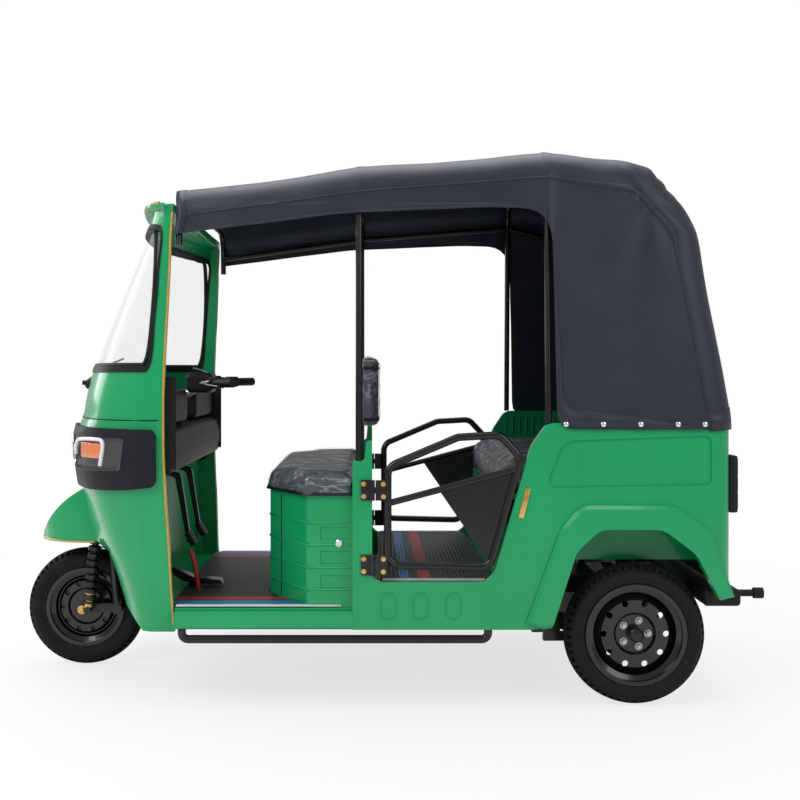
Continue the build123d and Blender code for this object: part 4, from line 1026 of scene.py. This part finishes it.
def make_pressings():
    """Bands round the seat box, its corner seams, and flutes inside the rear side panels."""
    for side in LEFT_RIGHT:
        name = SIDE_NAME[side]
        for row, z in enumerate(SEAT_BOX_BANDS):
            path = [Vector((x, -side * y, z)) for x, y in SEAT_BOX_PLAN]
            tube(f"seat_box_band_{row}_{name}", path, 0.0034, green_paint, smooth=False)
        x, y = SEAT_BOX_SEAM
        seam = [Vector((x, side * y, z)) for z in SEAT_BOX_SEAM_Z]
        tube(f"seat_box_seam_{name}", seam, 0.002, black_paint, smooth=False)
        for flute, x in enumerate(FLUTE_XS):
            ends = [skin_hit([f"side_panel_{name}"], (x, side * 0.3, z), (0, side, 0)) for z in FLUTE_Z]
            if all(end and abs(end[0].y) > 0.5 for end in ends):
                tube(f"flute_{flute}_{name}", [end[0] for end in ends], 0.006, green_paint,
                     smooth=False)


def make_mats():
    """Ribbed mats on both floors with pale edge strips along the sills."""
    mat = bmesh.new()
    face = mat.faces.new([mat.verts.new((x, y, DRIVER_MAT_Z)) for x, y in DRIVER_MAT_PLAN])
    grown = bmesh.ops.extrude_face_region(mat, geom=[face])
    top = [v for v in grown["geom"] if isinstance(v, bmesh.types.BMVert)]
    bmesh.ops.translate(mat, vec=(0, 0, DRIVER_MAT_T), verts=top)
    piece("driver_mat", mat, cab_mat)
    mat = bmesh.new()
    slab(mat, (0.012, -0.585, REAR_MAT_Z), (0.392, 0.585, REAR_MAT_Z + 0.005), 0.0015)
    piece("passenger_mat", mat, rear_mat)
    edges = bmesh.new()
    for side in LEFT_RIGHT:
        side_slab(edges, side, (-0.678, -0.118), MAT_EDGE_YS, (0.338, 0.3445), 0.003)
        side_slab(edges, side, (0.02, 0.37), MAT_EDGE_YS, (REAR_MAT_Z, REAR_MAT_Z + 0.007), 0.003)
    piece("mat_edges", edges, pale_edge)


def make_wiper():
    """The wiper's base on the cab's left and its arm across the screen."""
    base, out, _ = skin_hit(["cab_upper_skin"], (-2.0, WIPER_Y, 1.085), (1, 0, 0))
    wiper = bmesh.new()
    turned(wiper, WIPER_ROWS, facing(base, out), 24)
    piece("wiper_base", wiper, black_plastic)
    arm = [base + out * 0.024 + Vector((0, 0.002 * step, 0.0)) for step in range(2)]
    for step in range(1, 9):
        pane = skin_hit(["screen_pane"], (-2.0, WIPER_Y + 0.05 * step, 1.10 + 0.01 * step), (1, 0, 0))
        if pane:
            arm.append(pane[0] + pane[1] * 0.016)
    tube("wiper_arm", arm, 0.004, black_paint)


def make_fittings():
    """The back pad's straps, the wiper, hinge bolts, latch plates and the seat box's locks."""
    low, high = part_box("driver_backrest")
    straps = bmesh.new()
    for z in (low.z + 0.03, high.z - 0.045):
        slab(straps, (low.x - 0.001, low.y - 0.002, z - 0.006),
             (high.x + 0.003, high.y + 0.002, z + 0.006), 0.004)
    piece("back_pad_straps", straps, rubber)
    make_wiper()
    for side in LEFT_RIGHT:
        name = SIDE_NAME[side]
        fixed = bmesh.new()
        swung = bmesh.new()
        for z in HINGE_BOLT_ZS:
            bolt(fixed, (-0.0425, side * 0.636, z), (0, side, 0), *HINGE_BOLT)
            bolt(swung, (0.0235, side * 0.6425, z), (0, side, 0), *HINGE_BOLT)
        piece(f"post_bolts_{name}", fixed, gold_zinc)
        piece(f"door_bolts_{name}", swung, gold_zinc, f"door_{name}")
        latch = bmesh.new()
        side_slab(latch, side, (0.488, 0.506), (0.6295, 0.6345), (0.640, 0.742), 0.0015,
                  turn=Matrix.Rotation(radians(14), 4, "Y"))
        piece(f"latch_plate_{name}", latch, gold_zinc)
        lock = bmesh.new()
        turned(lock, LOCK_ROWS, facing((-0.125, side * 0.597, 0.552), (0, side, 0)), 24)
        piece(f"seat_box_lock_{name}", lock, chrome)


# Controls and front wheel fittings

BAR_CLAMP = (-0.5885, 0.222)
# A hand lever from its pod outwards: steps along X, away from the middle line and along Z.
LEVER_PATH = [(-0.028, 0.012, 0.0), (-0.045, 0.05, -0.002), (-0.015, 0.12, -0.008), (0.03, 0.19, -0.012)]
DIAL_ROWS = [(0, 0), (0.042, 0), (0.046, 0.006), (0.042, 0.01), (0.036, 0.008), (0, 0.007)]
PEDAL_YS = (-0.06, 0.21)
PEDAL_FACING = Vector((0.86, 0, 0.5))
BRAKE_LEVER_Y = -0.30
BRAKE_LEVER_PATH = [(-0.645, 0.342), (-0.65, 0.39), (-0.66, 0.44), (-0.675, 0.485)]
SHOCK_Y = 0.121
SHOCK_FOOT_ROWS = [
    (0.0135, 0.008), (0.0165, 0.01), (0.0165, 0.055), (0.021, 0.06), (0.021, 0.075), (0.0135, 0.078),
]
DRUM_ROWS = [(0.02, -0.03), (0.108, -0.03), (0.112, -0.026), (0.112, 0.012), (0.02, 0.012)]


def make_controls():
    """Switch pods, levers and dial on the handlebar, pedal pads, brake lever, shock feet and front drum."""
    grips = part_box("handlebar_grips")
    bar_z = (grips[0].z + grips[1].z) / 2
    pods = bmesh.new()
    for side in LEFT_RIGHT:
        run = Vector((0.105, side * -0.14, 0.002)).normalized()
        clamp = Vector((BAR_CLAMP[0], side * BAR_CLAMP[1], bar_z))
        slab(pods, clamp - Vector((0.026, 0.022, 0.02)), clamp + Vector((0.026, 0.022, 0.022)), 0.008, 3,
             turn_between((1, 0, 0), run))
        path = [clamp + Vector((x, side * y, z)) for x, y, z in LEVER_PATH]
        tube(f"hand_lever_{SIDE_NAME[side]}", path, 0.0055, black_paint, "steering")
    piece("switch_pods", pods, black_plastic, "steering")
    dial = bmesh.new()
    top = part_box("handlebar_cover")[1]
    turned(dial, DIAL_ROWS, facing((top.x - 0.045, 0, top.z - 0.004), (0.35, 0, 0.94)), 36)
    piece("speed_dial", dial, dial_glass, "steering")
    pads = bmesh.new()
    tilt = turn_between((0, 0, 1), PEDAL_FACING)
    for y in PEDAL_YS:
        block_at(pads, Vector((-0.712, y, 0.492)) + PEDAL_FACING * 0.009, (0.029, 0.039, 0.004), 0.003, 2, tilt)
    piece("pedal_pads", pads, rubber)
    lever = [Vector((x, BRAKE_LEVER_Y, z)) for x, z in BRAKE_LEVER_PATH]
    tube("park_brake_lever", lever, 0.009, red_rubber, "chassis")
    for side in LEFT_RIGHT:
        sleeve = bmesh.new()
        foot = Vector((-1.089, side * SHOCK_Y, 0.232))
        head = Vector((-1.058, side * SHOCK_Y, 0.52))
        turned(sleeve, SHOCK_FOOT_ROWS, facing(foot, head - foot), 24)
        piece(f"shock_foot_{SIDE_NAME[side]}", sleeve, gold_zinc, "steering")
    drum = bmesh.new()
    turned(drum, DRUM_ROWS, facing((-1.12, 0, 0.225), (0, -1, 0)), 48)
    piece("front_drum", drum, black_paint, "front_wheel")


# Stage

SKY_STRENGTH = 0.42
FLOOR_HALF = 14.0
# Soft boxes: place, size and power.
SOFT_BOXES = [
    ((-3.6, -3.6, 4.4), 3.2, 150.0), ((3.8, -3.8, 3.4), 2.8, 70.0), ((0.0, 0.6, 5.2), 4.0, 190.0),
    ((-4.5, 2.5, 2.6), 2.6, 70.0),
]
LIT_POINT = Vector((0, 0, 0.8))
CAMERA_PLACE = (-0.0146, -4.55, 1.131)
CAMERA_LENS = 52.6
CAMERA_SHIFT = (0.035, -0.035)


def floor_finish():
    """Pale floor that keeps the shadow near the vehicle and runs out to white."""
    material = finish("pale_floor", (0.86, 0.86, 0.86), 0.6)
    tree = material.node_tree
    place = tree.nodes.new("ShaderNodeTexCoord")
    far = tree.nodes.new("ShaderNodeVectorMath")
    far.operation = "LENGTH"
    tree.links.new(place.outputs["Object"], far.inputs[0])
    fade = tree.nodes.new("ShaderNodeMapRange")
    fade.inputs["From Min"].default_value = 0.6
    fade.inputs["From Max"].default_value = 3.4
    fade.inputs["To Min"].default_value = 0.72
    tree.links.new(far.outputs["Value"], fade.inputs["Value"])
    path = tree.nodes.new("ShaderNodeLightPath")
    seen = tree.nodes.new("ShaderNodeMath")
    seen.operation = "MULTIPLY"
    tree.links.new(fade.outputs["Result"], seen.inputs[0])
    tree.links.new(path.outputs["Is Camera Ray"], seen.inputs[1])
    glow = tree.nodes.new("ShaderNodeEmission")
    glow.inputs["Color"].default_value = (1, 1, 1, 1)
    mix = tree.nodes.new("ShaderNodeMixShader")
    tree.links.new(seen.outputs["Value"], mix.inputs["Fac"])
    tree.links.new(tree.nodes["Principled BSDF"].outputs["BSDF"], mix.inputs[1])
    tree.links.new(glow.outputs["Emission"], mix.inputs[2])
    tree.links.new(mix.outputs["Shader"], tree.nodes["Material Output"].inputs["Surface"])
    return material


def make_world():
    """White surround, shown in full to the camera and through glass, and dimmer as a light."""
    world = bpy.data.worlds.new("surround")
    bpy.context.scene.world = world
    world.use_nodes = True
    tree = world.node_tree
    sky = tree.nodes["Background"]
    sky.inputs["Color"].default_value = (1, 1, 1, 1)
    sky.inputs["Strength"].default_value = SKY_STRENGTH
    seen = tree.nodes.new("ShaderNodeBackground")
    seen.inputs["Color"].default_value = (1, 1, 1, 1)
    seen.inputs["Strength"].default_value = 1.0
    path = tree.nodes.new("ShaderNodeLightPath")
    mix = tree.nodes.new("ShaderNodeMixShader")
    shown = tree.nodes.new("ShaderNodeMath")
    shown.operation = "MAXIMUM"
    tree.links.new(path.outputs["Is Camera Ray"], shown.inputs[0])
    tree.links.new(path.outputs["Is Transmission Ray"], shown.inputs[1])
    tree.links.new(shown.outputs["Value"], mix.inputs["Fac"])
    tree.links.new(sky.outputs["Background"], mix.inputs[1])
    tree.links.new(seen.outputs["Background"], mix.inputs[2])
    tree.links.new(mix.outputs["Shader"], tree.nodes["World Output"].inputs["Surface"])


def make_stage():
    """Pale floor, white surround, soft lamps and the camera at the photograph's place."""
    bm = bmesh.new()
    bmesh.ops.create_grid(bm, x_segments=8, y_segments=8, size=FLOOR_HALF)
    floor = put("floor", mesh_of("floor", bm))
    floor.data.materials.append(floor_finish())
    floor.location.z = -0.0005
    make_world()
    for index, (place, size, power) in enumerate(SOFT_BOXES):
        lamp = bpy.data.lights.new(f"soft_box_{index}", "AREA")
        lamp.size = size
        lamp.energy = power
        holder = put(lamp.name, lamp)
        holder.location = place
        holder.rotation_euler = (LIT_POINT - Vector(place)).to_track_quat("-Z", "Y").to_euler()

    camera = bpy.data.cameras.new("camera")
    camera.lens = CAMERA_LENS
    camera.shift_x, camera.shift_y = CAMERA_SHIFT
    holder = put("camera", camera)
    holder.location = CAMERA_PLACE
    holder.rotation_euler = (radians(90), 0, 0)
    bpy.context.scene.camera = holder
    bpy.context.scene.view_settings.view_transform = "Standard"


dress_nodes()
make_stage()
make_canopy()
make_seats()
make_wheels()
make_cab_skins()
make_cab_trim()
make_lamps()
make_dash()
make_pressings()
make_mats()
make_fittings()
make_controls()
